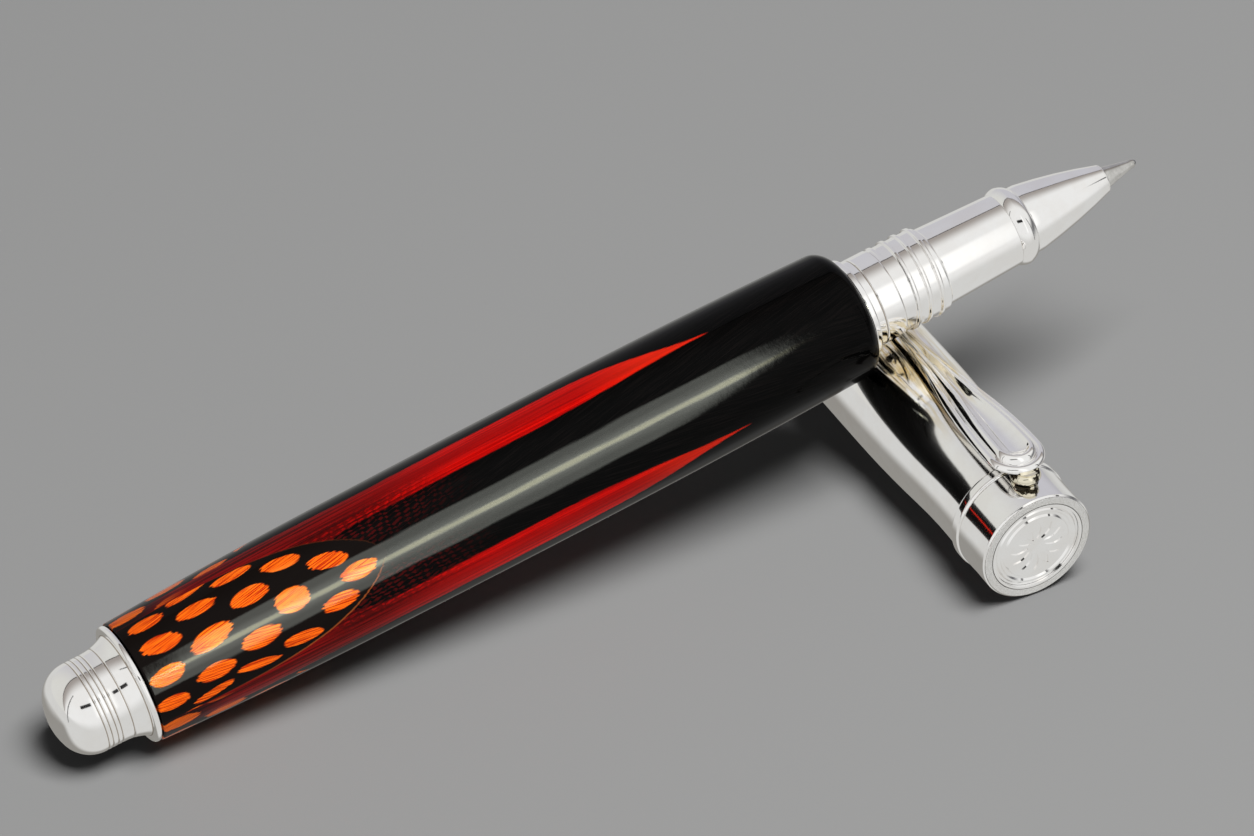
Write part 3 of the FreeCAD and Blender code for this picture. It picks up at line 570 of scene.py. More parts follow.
def post_mesh():
    """The waisted post between the end piece and the clip, and its screw."""
    outline = [
        (4.9, 0), (4.9, 1.1), (6.05, 1.1), (6.05, 1.45), (6.5, 1.45), (6.6, 1.25),
        (7.2, 1.66, 0.75, "left"), (7.8, 1.25, 0.75, "left"), (7.98, 1.4), (7.98, 0),
    ]
    points, hollow = eased(outline, closed=False, ease=0.04)
    vertices, faces, marks = spun(points, hollow, closed=False)
    standing = [(POST_STATION + y, z, x) for x, y, z in vertices]
    return finished("clip_stud", standing, faces, CAP, marks)


# ---- node helpers -------------------------------------------------------------------------------

class Tree:
    """Short ways to add nodes to a node tree and join them."""

    def __init__(self, tree):
        self.tree = tree
        tree.nodes.clear()

    def add(self, kind, inputs=None, **settings):
        node = self.tree.nodes.new(kind)
        for key, value in settings.items():
            setattr(node, key, value)
        for key, value in (inputs or {}).items():
            self.join(value, node.inputs[key])
        return node

    def join(self, value, socket):
        if isinstance(value, bpy.types.NodeSocket):
            self.tree.links.new(value, socket)
        else:
            socket.default_value = value

    def math(self, operation, *values, clamp=False):
        node = self.add("ShaderNodeMath", operation=operation, use_clamp=clamp)
        for number, value in enumerate(values):
            self.join(value, node.inputs[number])
        return node.outputs[0]

    def times(self, *values, clamp=False):
        """The product of two or more values."""
        result = values[0]
        for value in values[1:]:
            result = self.math("MULTIPLY", result, value, clamp=clamp)
        return result

    def plus(self, *values):
        """The sum of two or more values."""
        result = values[0]
        for value in values[1:]:
            result = self.math("ADD", result, value)
        return result

    def minus(self, a, b):
        return self.math("SUBTRACT", a, b)

    def size(self, value):
        return self.math("ABSOLUTE", value)

    def off(self, value, middle):
        """How far a value is from a middle, either way."""
        return self.size(self.minus(value, middle))

    def vector(self, operation, a, b=None):
        node = self.add("ShaderNodeVectorMath", operation=operation)
        self.join(a, node.inputs[0])
        if b is not None:
            self.join(b, node.inputs[1])
        return node.outputs["Value" if operation in ("DOT_PRODUCT", "LENGTH") else "Vector"]

    def step(self, value, low, high):
        """0 below low, 1 above high, smooth between."""
        node = self.add("ShaderNodeMapRange", interpolation_type="SMOOTHSTEP")
        for key, entry in (("Value", value), ("From Min", low), ("From Max", high)):
            self.join(entry, node.inputs[key])
        return node.outputs["Result"]

    def spread(self, value, low, high):
        """A 0 to 1 value spread over a range."""
        node = self.add("ShaderNodeMapRange")
        for key, entry in (("Value", value), ("To Min", low), ("To Max", high)):
            self.join(entry, node.inputs[key])
        return node.outputs["Result"]

    def mix(self, factor, a, b):
        """A blend of two colours."""
        node = self.add("ShaderNodeMix", data_type="RGBA")
        self.join(factor, node.inputs["Factor"])
        for key, value in (("A", a), ("B", b)):
            socket = [s for s in node.inputs if s.name == key and s.type == "RGBA"][0]
            self.join(value + (1,) if isinstance(value, tuple) else value, socket)
        return [s for s in node.outputs if s.type == "RGBA"][0]

    def output(self, kind, shader):
        """Join a shader to the tree's output."""
        self.join(shader.outputs[0], self.add(kind).inputs["Surface"])

    def combine(self, x, y, z):
        return self.add("ShaderNodeCombineXYZ", {"X": x, "Y": y, "Z": z}).outputs["Vector"]

    def noise(self, vector, scale, detail=2.0, roughness=0.5):
        inputs = {"Vector": vector, "Scale": scale, "Detail": detail, "Roughness": roughness}
        return self.add("ShaderNodeTexNoise", inputs).outputs["Fac"]

    def bump(self, height, strength, distance, normal=None):
        inputs = {"Height": height, "Strength": strength, "Distance": distance}
        if normal is not None:
            inputs["Normal"] = normal
        return self.add("ShaderNodeBump", inputs).outputs["Normal"]

    def around(self, place):
        """Lathe coordinates of the shaded point in mm: station, across and up."""
        where = self.add("ShaderNodeTexCoord").outputs["Object"]
        offset = self.vector("SUBTRACT", where, tuple(place.translation))
        columns = [place.to_3x3().col[axis].normalized() / MM for axis in range(3)]
        return [self.vector("DOT_PRODUCT", offset, tuple(column)) for column in columns]

    def turn(self, across, up):
        """The turn round the axis in degrees, 0 where up points."""
        return self.math("DEGREES", self.math("ARCTAN2", across, up))

    def radius(self, across, up):
        return self.math("SQRT", self.plus(self.times(across, across), self.times(up, up)))

    def stretched(self, station, across, up, share):
        """Lathe coordinates with the station shortened, for streaks along the axis."""
        return self.combine(self.times(station, share), across, up)


def new_material(name):
    material = bpy.data.materials.new(name)
    material.use_nodes = True
    return material, Tree(material.node_tree)


def lathe_material(name, place):
    """A new material, its tree, and the shaded point's lathe coordinates, apart and as a vector."""
    material, tree = new_material(name)
    station, across, up = tree.around(place)
    return material, tree, (station, across, up), tree.combine(station, across, up)


def surface(tree, **inputs):
    """A Principled shader with these inputs, joined to the output."""
    named = {key.replace("_", " "): value for key, value in inputs.items()}
    tree.output("ShaderNodeOutputMaterial", tree.add("ShaderNodeBsdfPrincipled", named))


# ---- materials ----------------------------------------------------------------------------------

FACE_LINE, FACE_RIM = 5.36, 5.41
SILVER_WIPED, SILVER_BRIGHT = (0.93, 0.915, 0.90), (0.955, 0.95, 0.945)
TARNISH, LINE_DIRT = (0.33, 0.26, 0.18), (0.10, 0.09, 0.08)
FROST, WARM_STREAK = (0.80, 0.79, 0.76), (0.80, 0.68, 0.44)


def silver(name, place, satin_face=False, tarnish=True, shelter=None):
    """Polished silver plate: faint turning lines, wiped haze, and tarnish in the hollows.

    The satin face is the cap's closed end, with an engraved line and a frosted rim. The shelter is
    the span of heights over which the silver by the clip turns warm.
    """
    material, tree, (station, across, up), point = lathe_material(name, place)
    radius = tree.radius(across, up)
    haze = tree.noise(point, 0.35, 3.0, 0.6)
    fine = tree.noise(point, 4.0, 2.0, 0.6)
    rings = tree.noise(tree.combine(station, 0.0, radius), 9.0, 3.0, 0.7)
    rough = tree.plus(tree.spread(haze, 0.03, 0.11), tree.spread(fine, -0.01, 0.02))
    height = tree.plus(tree.times(rings, 0.5), tree.times(fine, 0.5))
    bump = tree.bump(height, 0.05, 0.00002)
    warm = tree.mix(tree.step(haze, 0.35, 0.65), SILVER_WIPED, SILVER_BRIGHT)
    if tarnish:
        hollow = tree.add("ShaderNodeAttribute", attribute_name="hollow").outputs["Fac"]
        dull = tree.times(hollow, tree.spread(tree.noise(point, 1.6, 2.0), 0.55, 1.0), clamp=True)
        warm = tree.mix(dull, warm, TARNISH)
        rough = tree.plus(rough, tree.times(dull, 0.2))
    if satin_face:
        line = tree.step(tree.off(radius, FACE_LINE), 0.055, 0.025)
        face = tree.step(station, 0.1, 0.02)
        warm = tree.mix(tree.times(line, face), warm, LINE_DIRT)
        face = tree.times(face, tree.step(radius, FACE_RIM - 0.03, FACE_RIM + 0.03))
        grain = tree.noise(point, 5.0, 4.0, 0.8)
        bump = tree.bump(tree.times(grain, face), 1.0, 0.00012, bump)
        rough = tree.plus(rough, tree.times(face, 0.22))
        warm = tree.mix(tree.times(face, tree.step(grain, 0.40, 0.62)), warm, FROST)
    if shelter:
        side = tree.step(tree.size(across), 5.5, 2.5)
        lane = tree.times(tree.step(station, 12.0, 20.0), tree.step(up, *shelter))
        streak = tree.noise(tree.stretched(station, across, up, 0.12), 1.6, 2.0, 0.6)
        lane = tree.times(lane, side, tree.step(streak, 0.38, 0.60))
        warm = tree.mix(tree.times(lane, 0.85), warm, WARM_STREAK)
    surface(tree, Base_Color=warm, Metallic=1.0, Roughness=rough, Normal=bump)
    return material


def plain_metal(name, place, dark, light, low, high, lines=8.0):
    """Turned metal with visible tool lines, for the brass, steel and carbide pieces."""
    material, tree, (station, across, up), point = lathe_material(name, place)
    radius = tree.radius(across, up)
    rings = tree.noise(tree.combine(station, 0.0, radius), lines, 4.0, 0.7)
    cloud = tree.noise(point, 0.7, 3.0, 0.6)
    colour = tree.mix(tree.step(cloud, 0.3, 0.7), dark, light)
    rough = tree.plus(tree.spread(cloud, low, high), tree.spread(rings, -0.03, 0.03))
    surface(tree, Base_Color=colour, Metallic=1.0, Roughness=rough, Normal=tree.bump(rings, 0.15, 0.00004))
    return material


def painted_shade_silver():
    """Silver in the shelter of the clip, painted with shade: near-black brown patches for the clip's shadow and
    dark reflections, with bright painted glints between.
    """
    material, tree, _, point = lathe_material("post_painted_shade_silver", CAP)
    cloud = tree.noise(point, 1.1, 2.0, 0.5)
    # painted shade and painted glints: near-black brown patches, and pale gold ones between them
    colour = tree.mix(tree.step(cloud, 0.47, 0.54), (0.035, 0.028, 0.018), (0.86, 0.80, 0.64))
    surface(tree, Base_Color=colour, Metallic=1.0, Roughness=tree.spread(cloud, 0.12, 0.04))
    return material


def moulded(name, place, dark, light, low, high):
    """Moulded plastic: a fine pebble, slow colour drift and a soft sheen."""
    material, tree, _, point = lathe_material(name, place)
    cloud = tree.noise(point, 0.4, 3.0, 0.6)
    pebble = tree.noise(point, 5.0, 3.0, 0.6)
    colour = tree.mix(tree.step(cloud, 0.3, 0.7), dark, light)
    rough = tree.plus(tree.spread(cloud, low, high), tree.spread(pebble, -0.04, 0.04))
    surface(tree, Base_Color=colour, Roughness=rough, Normal=tree.bump(pebble, 0.25, 0.00003))
    return material


def fibre_material():
    """Bundled ink fibre: long strands along the refill, stained unevenly."""
    material, tree, (station, across, up), point = lathe_material("ink_fibre", PEN)
    strands = tree.noise(tree.stretched(station, across, up, 0.03), 7.0, 3.0, 0.7)
    stain = tree.noise(point, 0.2, 3.0, 0.6)
    colour = tree.mix(tree.times(strands, stain), (0.015, 0.016, 0.045), (0.16, 0.17, 0.30))
    surface(tree, Base_Color=colour, Roughness=0.85, Normal=tree.bump(strands, 0.6, 0.0001))
    return material


# The feathers. Two lie round the barrel, one on the side that faces up and forward and one on the
# far side. Each has a spotted tip at the back and a red-edged black vane that runs to the front.
FRONT_FEATHER, BACK_FEATHER = -46.0, 134.0
FEATHER_RADIUS, BARB_LEAN, BARBS_PER_MM, RAGGED = 7.2, 0.17, 5.5, 0.18
SPOTTED_START, SPOTTED_END, SPOTTED_HALF, SPOTTED_ASIDE = 10.0, 37.4, 52.0, 2.5
BACK_SPOTTED_END, BACK_SPOTTED_HALF = 33.5, 128.0
SPOT_OUTSIDE, SPOT_INSIDE = 1.07, 0.93
# each spot: station, turn from the feather's middle, half length, half width in degrees, slant
SPOTS = (
    (12.4, 45, 2.0, 6.0, 0.0), (12.6, 20, 2.1, 8.0, -0.6), (11.7, -7, 2.0, 8.0, 0.5),
    (11.2, -32, 1.8, 6.5, 0.0), (12.1, -54, 1.9, 4.5, 1.6), (17.5, 54, 2.4, 5.0, 1.0),
    (17.5, 33, 2.2, 6.0, 0.0), (17.4, 4, 2.4, 8.5, 1.0), (16.4, -23, 2.1, 7.0, 0.0),
    (15.5, -41, 2.3, 3.8, 1.2), (17.7, -58, 2.1, 4.0, 1.0), (22.4, 46, 2.3, 4.8, 0.0),
    (22.8, 21, 2.1, 7.5, 0.0), (22.0, -15, 2.2, 7.5, 0.0), (20.8, -35, 2.3, 4.0, -1.0),
    (23.4, -64, 2.1, 6.0, 1.0), (27.3, 33, 2.1, 6.0, -1.2), (26.4, 1, 1.9, 10.0, 0.0),
    (25.9, -31, 2.2, 5.0, -0.6), (31.5, 16, 2.0, 6.5, -1.6), (34.0, -2, 2.0, 7.0, 0.0),
    (30.9, -18, 2.0, 6.5, 0.0),
)
VANE_END = 79.0
BACK_SPOT_START, BACK_SPOT_PITCH, BACK_SPOT_TURN = 8.6, 5.2, 26.0
BACK_SPOT_LENGTH, BACK_SPOT_WIDTH = 2.25, 7.2
MOTTLE_ROW, MOTTLE_BARB = 3.6, 1.05


def feather_colour(tree):
    """Colour of the feathers by station and turn, and the fine height of their barbs."""
    times, plus, minus, off, step = tree.times, tree.plus, tree.minus, tree.off, tree.step
    spread, mix, noise, combine = tree.spread, tree.mix, tree.noise, tree.combine
    station, across, up = tree.around(PEN)
    turn = tree.turn(across, up)

    def offset_from(middle):
        return tree.math("WRAP", minus(turn, middle), 180.0, -180.0)

    front, back = offset_from(FRONT_FEATHER), offset_from(BACK_FEATHER)
    wander = spread(noise(tree.stretched(station, across, up, 0.12), 0.35, 2.0), -1.0, 1.0)

    def barbs_of(offset, seed):
        """A shift of its own on every barb, which makes edges end barb by barb, and fine lines."""
        sideways = times(tree.size(offset), math.radians(1) * FEATHER_RADIUS)
        lane = minus(sideways, times(station, BARB_LEAN))
        barb = {"W": tree.math("FLOOR", times(lane, BARBS_PER_MM))}
        jump = tree.add("ShaderNodeTexWhiteNoise", barb, noise_dimensions="1D").outputs["Value"]
        lines = noise(combine(lane, times(station, 0.02), seed), 9.0, 2.0, 0.7)
        return spread(jump, -RAGGED, RAGGED), lines

    ragged_front, lines_front = barbs_of(front, 0.0)
    ragged_back, lines_back = barbs_of(back, 3.0)

    # spots of the front feather
    shifted = combine(plus(station, ragged_front), plus(front, times(wander, 2.0)), 0.0)
    nearest = None
    for at, aside, length, width, slant in SPOTS:
        where = tree.vector("SUBTRACT", shifted, (at, aside, 0))
        rise = tree.vector("DOT_PRODUCT", where, (-slant / width, 1 / width, 0))
        run = tree.vector("DOT_PRODUCT", where, (1 / length, 0, 0))
        reach = tree.vector("LENGTH", combine(run, rise, 0.0))
        nearest = reach if nearest is None else tree.math("MINIMUM", nearest, reach)
    spot_front = step(nearest, SPOT_OUTSIDE, SPOT_INSIDE)

    # spots of the back feather, on a staggered lattice
    column = tree.math("DIVIDE", minus(plus(station, ragged_back), BACK_SPOT_START), BACK_SPOT_PITCH)
    stagger = times(tree.math("MODULO", tree.math("FLOOR", column), 2.0), 0.5)
    row = plus(tree.math("DIVIDE", plus(back, 360.0), BACK_SPOT_TURN), stagger)
    run = times(minus(tree.math("FRACT", column), 0.5), BACK_SPOT_PITCH / BACK_SPOT_LENGTH)
    rise = times(minus(tree.math("FRACT", row), 0.5), BACK_SPOT_TURN / BACK_SPOT_WIDTH)
    spot_back = step(tree.vector("LENGTH", combine(run, rise, 0.0)), SPOT_OUTSIDE, SPOT_INSIDE)

    def spotted_mask(offset, half, end, ragged):
        """1 inside a spotted tip, which is rounded at its end, and how far inside its edge."""
        along = minus(plus(station, times(ragged, 0.4)), SPOTTED_START)
        share = tree.math("DIVIDE", along, end - SPOTTED_START, clamp=True)
        width = times(tree.math("POWER", minus(1.0, tree.math("POWER", share, 3.2)), 0.75), half)
        gap = minus(width, off(offset, SPOTTED_ASIDE))
        return step(gap, -0.6, 0.6), gap

    tip_front, gap_front = spotted_mask(front, SPOTTED_HALF, SPOTTED_END, ragged_front)
    tip_back, _ = spotted_mask(back, BACK_SPOTTED_HALF, BACK_SPOTTED_END, ragged_back)

    def vane(offset, ragged):
        """The red of one feather: two bands that end in a point in front. And the share across one."""
        width = plus(tree.size(offset), times(ragged, 1.5), times(wander, 1.5))
        lower = step(offset, 5.0, -5.0)
        closing = step(station, 56.0, VANE_END)
        late = times(closing, closing)
        inner = plus(spread(lower, 33.5, 37.5), times(closing, spread(lower, 7.5, 6.0)),
                     times(late, lower, 5.5), times(step(station, 36.0, 26.0), -16.0))
        outer = plus(minus(spread(lower, 62.5, 63.5), times(late, spread(lower, 21.5, 14.5))),
                     times(step(station, 38.0, 16.0), 5.0))
        red = times(step(minus(width, inner), -1.2, 1.2), step(minus(outer, width), -1.2, 1.2),
                    step(station, VANE_END - 0.3, VANE_END - 1.2))
        middle = tree.math("DIVIDE", minus(width, inner), minus(outer, inner), clamp=True)
        return red, middle

    red_front, middle_front = vane(front, ragged_front)
    red_back, _ = vane(back, ragged_back)

    # the spots' orange: barb by barb, and with a painted highlight in the middle: paler where the strip's
    # reflection lies
    drift = noise(tree.stretched(station, across, up, 0.25), 0.5, 3.0, 0.6)
    orange = mix(step(lines_front, 0.42, 0.56), (0.42, 0.020, 0.002), (0.95, 0.155, 0.006))
    orange = mix(step(drift, 0.55, 0.8), orange, (0.95, 0.20, 0.02))
    # painted highlight: a paler orange in a band round the middle of the front feather, where the strip's
    # reflection lies
    centre = step(off(front, -4.0), 17.0, 9.0)
    painted_glare_orange = mix(step(lines_front, 0.42, 0.56), (0.62, 0.085, 0.004), (0.98, 0.29, 0.012))
    orange = mix(times(centre, 0.75), orange, painted_glare_orange)
    orange_back = mix(step(lines_back, 0.36, 0.60), (0.42, 0.040, 0.004), (0.80, 0.15, 0.010))
    # the bands' red: deep at the back, vivid in front, darker along the middle of each band
    forward = step(station, 30.0, 50.0)
    along = noise(combine(times(station, 0.035), times(front, 0.30), 0.0), 1.0, 4.0, 0.75)
    deep = mix(step(along, 0.40, 0.60), (0.040, 0.001, 0.001), (0.21, 0.003, 0.003))
    vivid = mix(step(along, 0.38, 0.62), (0.28, 0.001, 0.001), (0.62, 0.004, 0.002))
    heart = times(step(off(middle_front, 0.5), 0.32, 0.10), step(station, 74.0, 68.0))
    vivid = mix(times(heart, 0.5), vivid, (0.22, 0.001, 0.001))
    vivid = mix(times(step(station, 62.0, 74.0), 0.6), vivid, (0.70, 0.024, 0.006))
    red = mix(forward, deep, vivid)
    # mottling: short dashes in rows along the barrel, one to each barb
    jitter = noise(combine(station, times(front, 0.12), 0.0), 0.9, 2.0, 0.5)
    rows = tree.math("SINE", times(plus(front, times(jitter, 7.0)), math.tau / MOTTLE_ROW))
    barb = plus(tree.math("DIVIDE", station, MOTTLE_BARB), times(tree.size(front), -0.055))
    barb = tree.math("SINE", times(plus(barb, times(jitter, 2.4)), math.tau))
    dash = step(plus(rows, times(barb, 0.8)), -0.2, 1.3)
    zone = times(step(station, 27.0, 31.0), step(station, 50.0, 37.0))
    aside = minus(tree.size(front), forward)
    dark = times(minus(1.0, dash), zone, step(aside, 50.0, 38.0))
    red = mix(times(dark, 0.7), red, (0.02, 0.002, 0.002))
    black = mix(step(lines_front, 0.45, 0.7), (0.0010, 0.0010, 0.0010), (0.0040, 0.0032, 0.003))
    fleck = times(dash, zone, step(aside, 4.0, 22.0), step(aside, 62.0, 50.0))
    black = mix(fleck, black, (0.045, 0.0022, 0.0022))

    colour = mix(tree.math("MAXIMUM", red_front, red_back), black, red)
    colour = mix(tip_back, colour, mix(spot_back, (0.006, 0.004, 0.004), orange_back))
    colour = mix(times(red_front, step(station, 11.0, 19.0)), colour, red)
    colour = mix(tip_front, colour, mix(spot_front, (0.005, 0.0035, 0.003), orange))
    # a thin orange rim round the front feather's spotted tip, clearest on its lower side
    lower_side = spread(step(front, 0.0, -14.0), 0.05, 0.5)
    rim = times(step(tree.size(gap_front), 1.1, 0.2), step(station, 14.0, 28.0),
                step(station, SPOTTED_END + 0.1, SPOTTED_END - 1.5), lower_side)
    colour = mix(rim, colour, (0.42, 0.10, 0.02))
    return colour, lines_front


def resin_material():
    """Polished clear resin with the feathers cast just under it."""
    material, tree, (station, across, up), point = lathe_material("resin_over_feather", PEN)
    colour, lines = feather_colour(tree)
    scuff = tree.noise(point, 0.6, 4.0, 0.7)
    ripple = tree.noise(tree.stretched(station, across, up, 0.12), 0.5, 2.0, 0.5)
    coat_bump = tree.bump(tree.plus(tree.times(ripple, 0.9), tree.times(scuff, 0.1)), 0.35, 0.00012)
    surface(tree, Base_Color=colour, Roughness=0.65, Specular_IOR_Level=0.0,
            Normal=tree.bump(lines, 0.3, 0.00004), Coat_Weight=1.0, Coat_IOR=1.12,
            Coat_Roughness=0.035, Coat_Normal=coat_bump)
    return material


def feather_material():
    """The bare feather wrap: the same vanes, dry and softly lit."""
    material, tree = new_material("feather_vane")
    colour, lines = feather_colour(tree)
    surface(tree, Base_Color=colour, Roughness=0.7, Normal=tree.bump(lines, 0.5, 0.00006),
            Sheen_Weight=0.15, Sheen_Roughness=0.4)
    return material


# ---- pieces -------------------------------------------------------------------------------------

pen_silver = silver("pen_silver", PEN)
cap_silver = silver("cap_silver", CAP, shelter=(2.0, 4.0))
clip_silver = silver("clip_silver", CAP, tarnish=False, shelter=(9.0, 8.6))
end_silver = silver("end_silver", CAP, satin_face=True)
post_painted_shade_silver = painted_shade_silver()
medallion_silver = silver("medallion_silver", CAP, tarnish=False)
brass, cap_brass = [
    plain_metal(name, place, (0.66, 0.43, 0.16), (0.80, 0.58, 0.26), 0.22, 0.36)
    for name, place in (("turned_brass", PEN), ("cap_brass", CAP))
]
steel = plain_metal("drawn_steel", PEN, (0.50, 0.49, 0.47), (0.68, 0.67, 0.65), 0.12, 0.24, 11.0)
carbide = plain_metal("ground_carbide", PEN, (0.30, 0.30, 0.31), (0.46, 0.46, 0.47), 0.14, 0.22, 30.0)
refill_plastic = moulded("refill_plastic", PEN, (0.030, 0.031, 0.036), (0.055, 0.056, 0.064), 0.34, 0.46)
liner_plastic = moulded("liner_plastic", CAP, (0.07, 0.07, 0.075), (0.11, 0.11, 0.12), 0.42, 0.55)
resin = resin_material()
feather = feather_material()
fibre = fibre_material()

# Each turned piece: name, outline, place, body, the CAD node it stands for, slot, material. An
# outline that starts on the axis is open, and is closed by its two poles.
LATHE_PIECES = (
    ("rear_end_cap", finial_outline(), PEN, "barrel", "finial", "silver", pen_silver),
    ("barrel_shell", barrel_outline(), PEN, "barrel", "resin_barrel", "resin", resin),
    ("barrel_flange", flange_outline(BARREL_END, 0.8, 5.42, 0.25, NECK + GLUE * 2), PEN, "barrel",
     "coupler_ring", "silver", pen_silver),
    ("threaded_coupler", coupler_outline(), PEN, "barrel", "front_coupler", "silver", pen_silver),
    ("grip_sleeve", grip_outline(), PEN, "section", "grip_section", "silver", pen_silver),
    ("grip_collar", bead_outline(), PEN, "section", "grip_bead", "silver", pen_silver),
    ("nose_sleeve", nose_outline(), PEN, "section", "nose_cone", "silver", pen_silver),
    ("point_cone", tip_outline(), PEN, "refill", "refill_tip", "steel", steel),
    ("point_ball", ball_outline(), PEN, "point", "writing_ball", "carbide", carbide),
    ("cap_end_piece", end_outline(), CAP, "cap", "cap_finial", "end_silver", end_silver),
    ("cap_trim_ring", flange_outline(END_LENGTH + SEAM, 1.4, 6.58, 0.38, 2.62), CAP, "cap",
     "cap_ring", "silver", cap_silver),
    ("cap_sleeve", cap_tube_outline(), CAP, "cap", "cap_tube", "silver", cap_silver),
    ("cap_thread_sleeve", insert_outline(), CAP, "cap", "cap_thread_insert", "brass", cap_brass),
)
THREADS = {"threaded_coupler": coupler_radius, "cap_thread_sleeve": insert_radius}
for name, outline, place, body, node, slot, material in LATHE_PIECES:
    piece = turned(name, outline, place, closed=outline[0][1] > 0, radius_of=THREADS.get(name))
    settle(piece, body, (node,), slot, material)
settle(clip_mesh(), "cap", ("clip",), "silver", clip_silver)
settle(post_mesh(), "cap", ("clip_post",), "silver", post_painted_shade_silver)

CAD_MATERIALS = {
    "feather_wrap": feather,
    "barrel_tube": brass,
    "rear_bushing": brass,
    "refill_spring": steel,
    "refill_plug": refill_plastic,
    "refill_tube": refill_plastic,
    "ink_fibre": fibre,
    "refill_feed": refill_plastic,
    "cap_bushing": cap_brass,
    "cap_liner": liner_plastic,
    "cap_medallion": medallion_silver,
}
for name, material in CAD_MATERIALS.items():
    slots = frame["nodes"][name].data.materials
    for number in range(len(slots)):
        slots[number] = material
    if not slots:
        slots.append(material)


# ---- floor, light and camera --------------------------------------------------------------------

FLOOR_HALF = 1.5


def floor_piece():
    mesh = bpy.data.meshes.new("floor")
    half = FLOOR_HALF
    corners = [(-half, -half, 0), (half, -half, 0), (half, half, 0), (-half, half, 0)]
    mesh.from_pydata(corners, [], [(0, 1, 2, 3)])
    piece = bpy.data.objects.new("floor", mesh)
    bpy.context.scene.collection.objects.link(piece)
    material, tree = new_material("paper_floor")
    where = tree.add("ShaderNodeTexCoord").outputs["Object"]
    grain = tree.noise(where, 900.0, 3.0, 0.6)
    cloud = tree.noise(where, 4.0, 2.0, 0.5)
    colour = tree.mix(cloud, (0.325, 0.325, 0.324), (0.350, 0.350, 0.348))
    surface(tree, Base_Color=colour, Roughness=0.9, Specular_IOR_Level=0.1, Normal=tree.bump(grain, 0.05, 0.00005))
    piece.data.materials.append(material)
    piece.visible_glossy = False


AMBIENT, BACKDROP = (0.052, 0.052, 0.053), (0.094, 0.094, 0.094)
KEY_PLACE, KEY_SIZE, KEY_POWER = (0.16, -0.30, 1.12), (0.58, 0.58), 14.2
FILL_PLACE, FILL_SIZE, FILL_POWER = (-0.30, -0.60, 0.22), (0.40, 0.40), 3.2
STRIP_WAY, STRIP_DISTANCE, STRIP_SHIFT = Vector((0.19, -0.81, 0.55)), 0.6, -0.044
STRIP_SIZE, STRIP_POWER = (0.24, 0.66), 11.5


def area_light(name, place, target, size, power):
    data = bpy.data.lights.new(name, "AREA")
    data.shape = "RECTANGLE"
    data.size, data.size_y = size
    data.energy = power
    lamp = bpy.data.objects.new(name, data)
    lamp.location = place
    lamp.rotation_euler = (Vector(target) - Vector(place)).to_track_quat("-Z", "Y").to_euler()
    bpy.context.scene.collection.objects.link(lamp)
    lamp.visible_glossy = False
    return lamp


def resin_strip():
    """A tall strip softbox in front, bright along its middle, seen only in the polished resin."""
    low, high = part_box("resin_barrel")
    centre = (low + high) / 2
    place = centre + STRIP_WAY.normalized() * STRIP_DISTANCE + Vector((STRIP_SHIFT, 0, 0))
    lamp = area_light("strip", place, centre, STRIP_SIZE, STRIP_POWER)
    lamp.visible_diffuse = False
    lamp.visible_glossy = True
    lamp.data.use_nodes = True
    lamp.data.node_tree.nodes.clear()
    tree = Tree(lamp.data.node_tree)
    spot = tree.add("ShaderNodeNewGeometry").outputs["Parametric"]
    across, tall = [tree.off(tree.vector("DOT_PRODUCT", spot, axis), 0.5) for axis in ((1, 0, 0), (0, 1, 0))]
    # a faint wide band, a soft glow inside it, and a thin bright core
    core = tree.step(tall, 0.10, 0.02)
    glow = tree.times(tree.step(tall, 0.30, 0.03), 0.9)
    level = tree.plus(tree.step(tall, 0.50, 0.40), glow, tree.times(core, 3.0))
    level = tree.times(level, tree.step(across, 0.50, 0.36))
    colour = tree.mix(core, (0.96, 1.0, 0.90), (1.0, 1.0, 0.74))
    shine = tree.add("ShaderNodeEmission", {"Color": colour, "Strength": level})
    tree.output("ShaderNodeOutputLight", shine)
    lamp.light_linking.receiver_collection = resin_only


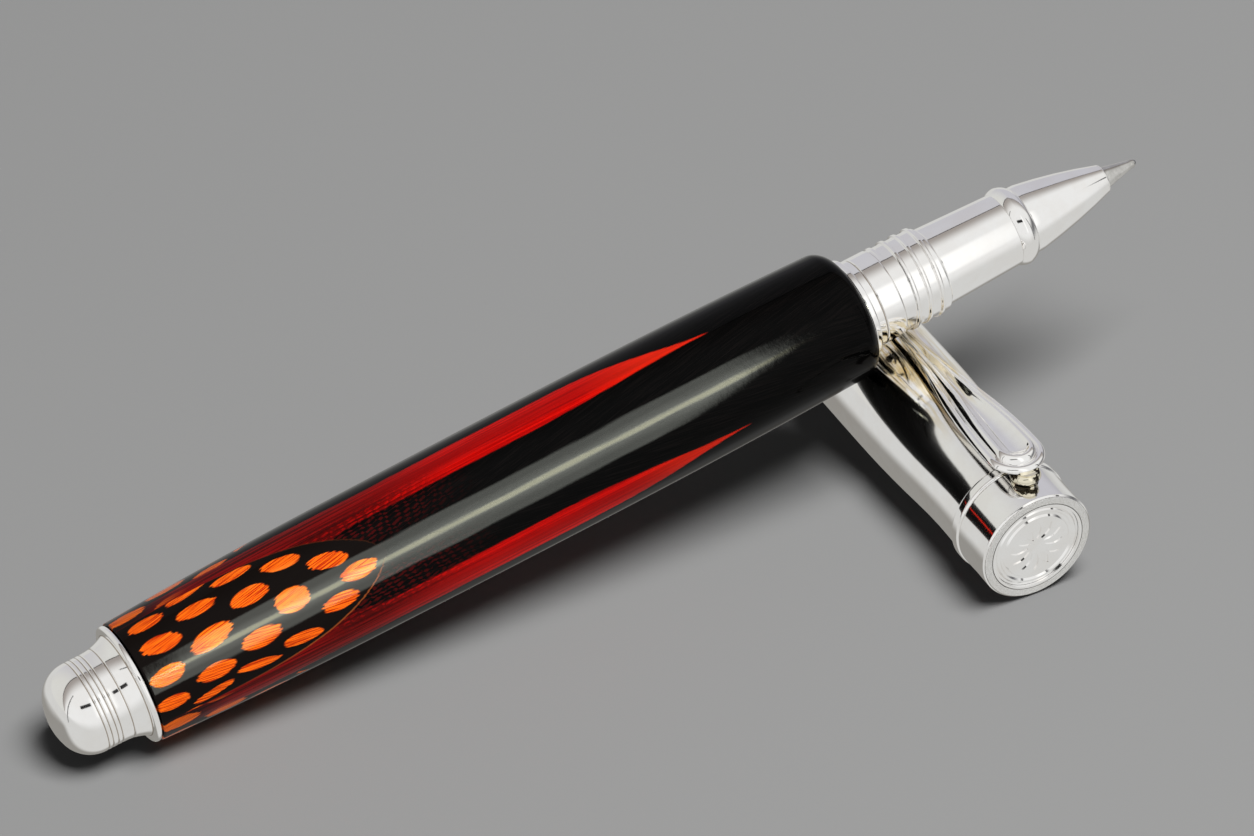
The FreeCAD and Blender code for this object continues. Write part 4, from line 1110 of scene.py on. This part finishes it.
def studio_world():
    """What the silver sees: a pale tent with a long softbox over the front and a few dark seams."""
    world = bpy.data.worlds.new("light_tent")
    bpy.context.scene.world = world
    world.use_nodes = True
    tree = Tree(world.node_tree)
    way = tree.add("ShaderNodeTexCoord").outputs["Generated"]

    def panel(centre, level, half_width, half_height, edge):
        """A soft-edged rectangle of the sky round a direction. Its width runs along level."""
        centre = Vector(centre).normalized()
        side = (Vector(level) - centre * centre.dot(Vector(level))).normalized()
        rise = centre.cross(side)
        depth = tree.vector("DOT_PRODUCT", way, tuple(centre))
        inside = tree.math("GREATER_THAN", depth, 0.05)
        depth = tree.math("MAXIMUM", depth, 0.05)
        for axis, half in ((side, half_width), (rise, half_height)):
            reach = tree.size(tree.math("DIVIDE", tree.vector("DOT_PRODUCT", way, tuple(axis)), depth))
            inside = tree.times(inside, tree.step(reach, half + edge, half - edge))
        return inside

    right, back, height = [tree.vector("DOT_PRODUCT", way, tuple(axis)) for axis in Matrix.Identity(3)]
    # the tent is banded from the front, over the top, to the back: 0 is level at the front
    arch = tree.math("DEGREES", tree.math("ARCTAN2", height, tree.times(back, -1.0)))
    walls = tree.mix(tree.step(right, -0.5, 0.45), (0.70, 0.70, 0.67), (0.56, 0.555, 0.595))
    walls = tree.mix(tree.step(arch, 123.0, 121.5), walls, (0.05, 0.045, 0.045))
    walls = tree.mix(tree.step(arch, 120.6, 119.4), walls, (0.36, 0.33, 0.31))
    walls = tree.mix(tree.step(arch, 117.0, 82.0), walls, (0.86, 0.86, 0.85))
    walls = tree.mix(tree.step(arch, 4.0, -25.0), walls, (0.66, 0.66, 0.645))
    under = tree.times(tree.step(height, -0.35, -0.6), tree.step(back, 0.0, 0.3))
    walls = tree.mix(under, walls, (0.30, 0.29, 0.27))
    # off to the right the tent ends, and silver seen from there shows a darker horizon
    low = tree.times(tree.step(tree.size(height), 0.36, 0.0), tree.step(right, 0.72, 0.95))
    walls = tree.mix(low, walls, (0.15, 0.15, 0.155))
    panels = (
        (STRIP_WAY, (0.97, 0.23, 0.0), 0.14, 0.45, 0.12, (1.15, 1.15, 1.13)),  # the softbox
        ((-0.30, -0.66, 0.64), (1, 0, 0), 0.30, 0.07, 0.01, (0.02, 0.02, 0.02)),  # a dark card
        ((0.85, -0.52, 0.12), (0, 0, 1), 0.5, 0.03, 0.01, (0.03, 0.03, 0.03)),  # the tent's opening
        ((-0.86, -0.1, 0.3), (0, 0, 1), 0.7, 0.02, 0.008, (0.05, 0.05, 0.05)),  # a seam
    )
    for *shape, colour in panels:
        walls = tree.mix(panel(*shape), walls, colour)
    shiny = tree.add("ShaderNodeBackground", {"Color": walls, "Strength": 1.0})
    # The tent is seen in gloss only. Its image in the silver doesn't light the floor, so the shadows
    # stay deep next to it. The backdrop has the tone of the floor's far edge.
    path = tree.add("ShaderNodeLightPath").outputs
    dim = tree.mix(path["Is Camera Ray"], AMBIENT, BACKDROP)
    even = tree.add("ShaderNodeBackground", {"Color": dim, "Strength": 1.0})
    seen = tree.times(path["Is Glossy Ray"], tree.math("LESS_THAN", path["Diffuse Depth"], 0.5))
    both = tree.add("ShaderNodeMixShader", {"Fac": seen, 1: even.outputs[0], 2: shiny.outputs[0]})
    tree.output("ShaderNodeOutputWorld", both)


def camera():
    """The photograph's view: a long lens, looking down along and across the pen."""
    target = Vector((0.00716, 0.0172, 0.008))
    heading, elevation, roll = math.radians(28.77), math.radians(39.75), math.radians(-1.65)
    distance = 0.6864
    ahead = Vector((math.sin(heading), math.cos(heading), 0))
    forward = ahead * math.cos(elevation) - Vector((0, 0, math.sin(elevation)))
    right = Vector((math.cos(heading), -math.sin(heading), 0))
    up = right.cross(forward)
    level, rise = math.cos(roll) * right + math.sin(roll) * up, math.cos(roll) * up - math.sin(roll) * right
    data = bpy.data.cameras.new("camera")
    data.sensor_width = 36.0
    data.lens = 187.2
    data.clip_start, data.clip_end = 0.01, 20.0
    eye = bpy.data.objects.new("camera", data)
    turn = Matrix((level, rise, -forward)).transposed().to_4x4()
    eye.matrix_world = Matrix.Translation(target - forward * distance) @ turn
    bpy.context.scene.collection.objects.link(eye)
    bpy.context.scene.camera = eye


floor_piece()
studio_world()
area_light("key", KEY_PLACE, (0, 0, 0), KEY_SIZE, KEY_POWER)
resin_only = bpy.data.collections.new("resin_only")
resin_only.objects.link(bpy.data.objects["barrel_shell"])
resin_strip()
fill = area_light("fill", FILL_PLACE, (0, 0, 0.01), FILL_SIZE, FILL_POWER)
fill.light_linking.receiver_collection = resin_only
camera()
bpy.context.scene.view_settings.view_transform = "Standard"
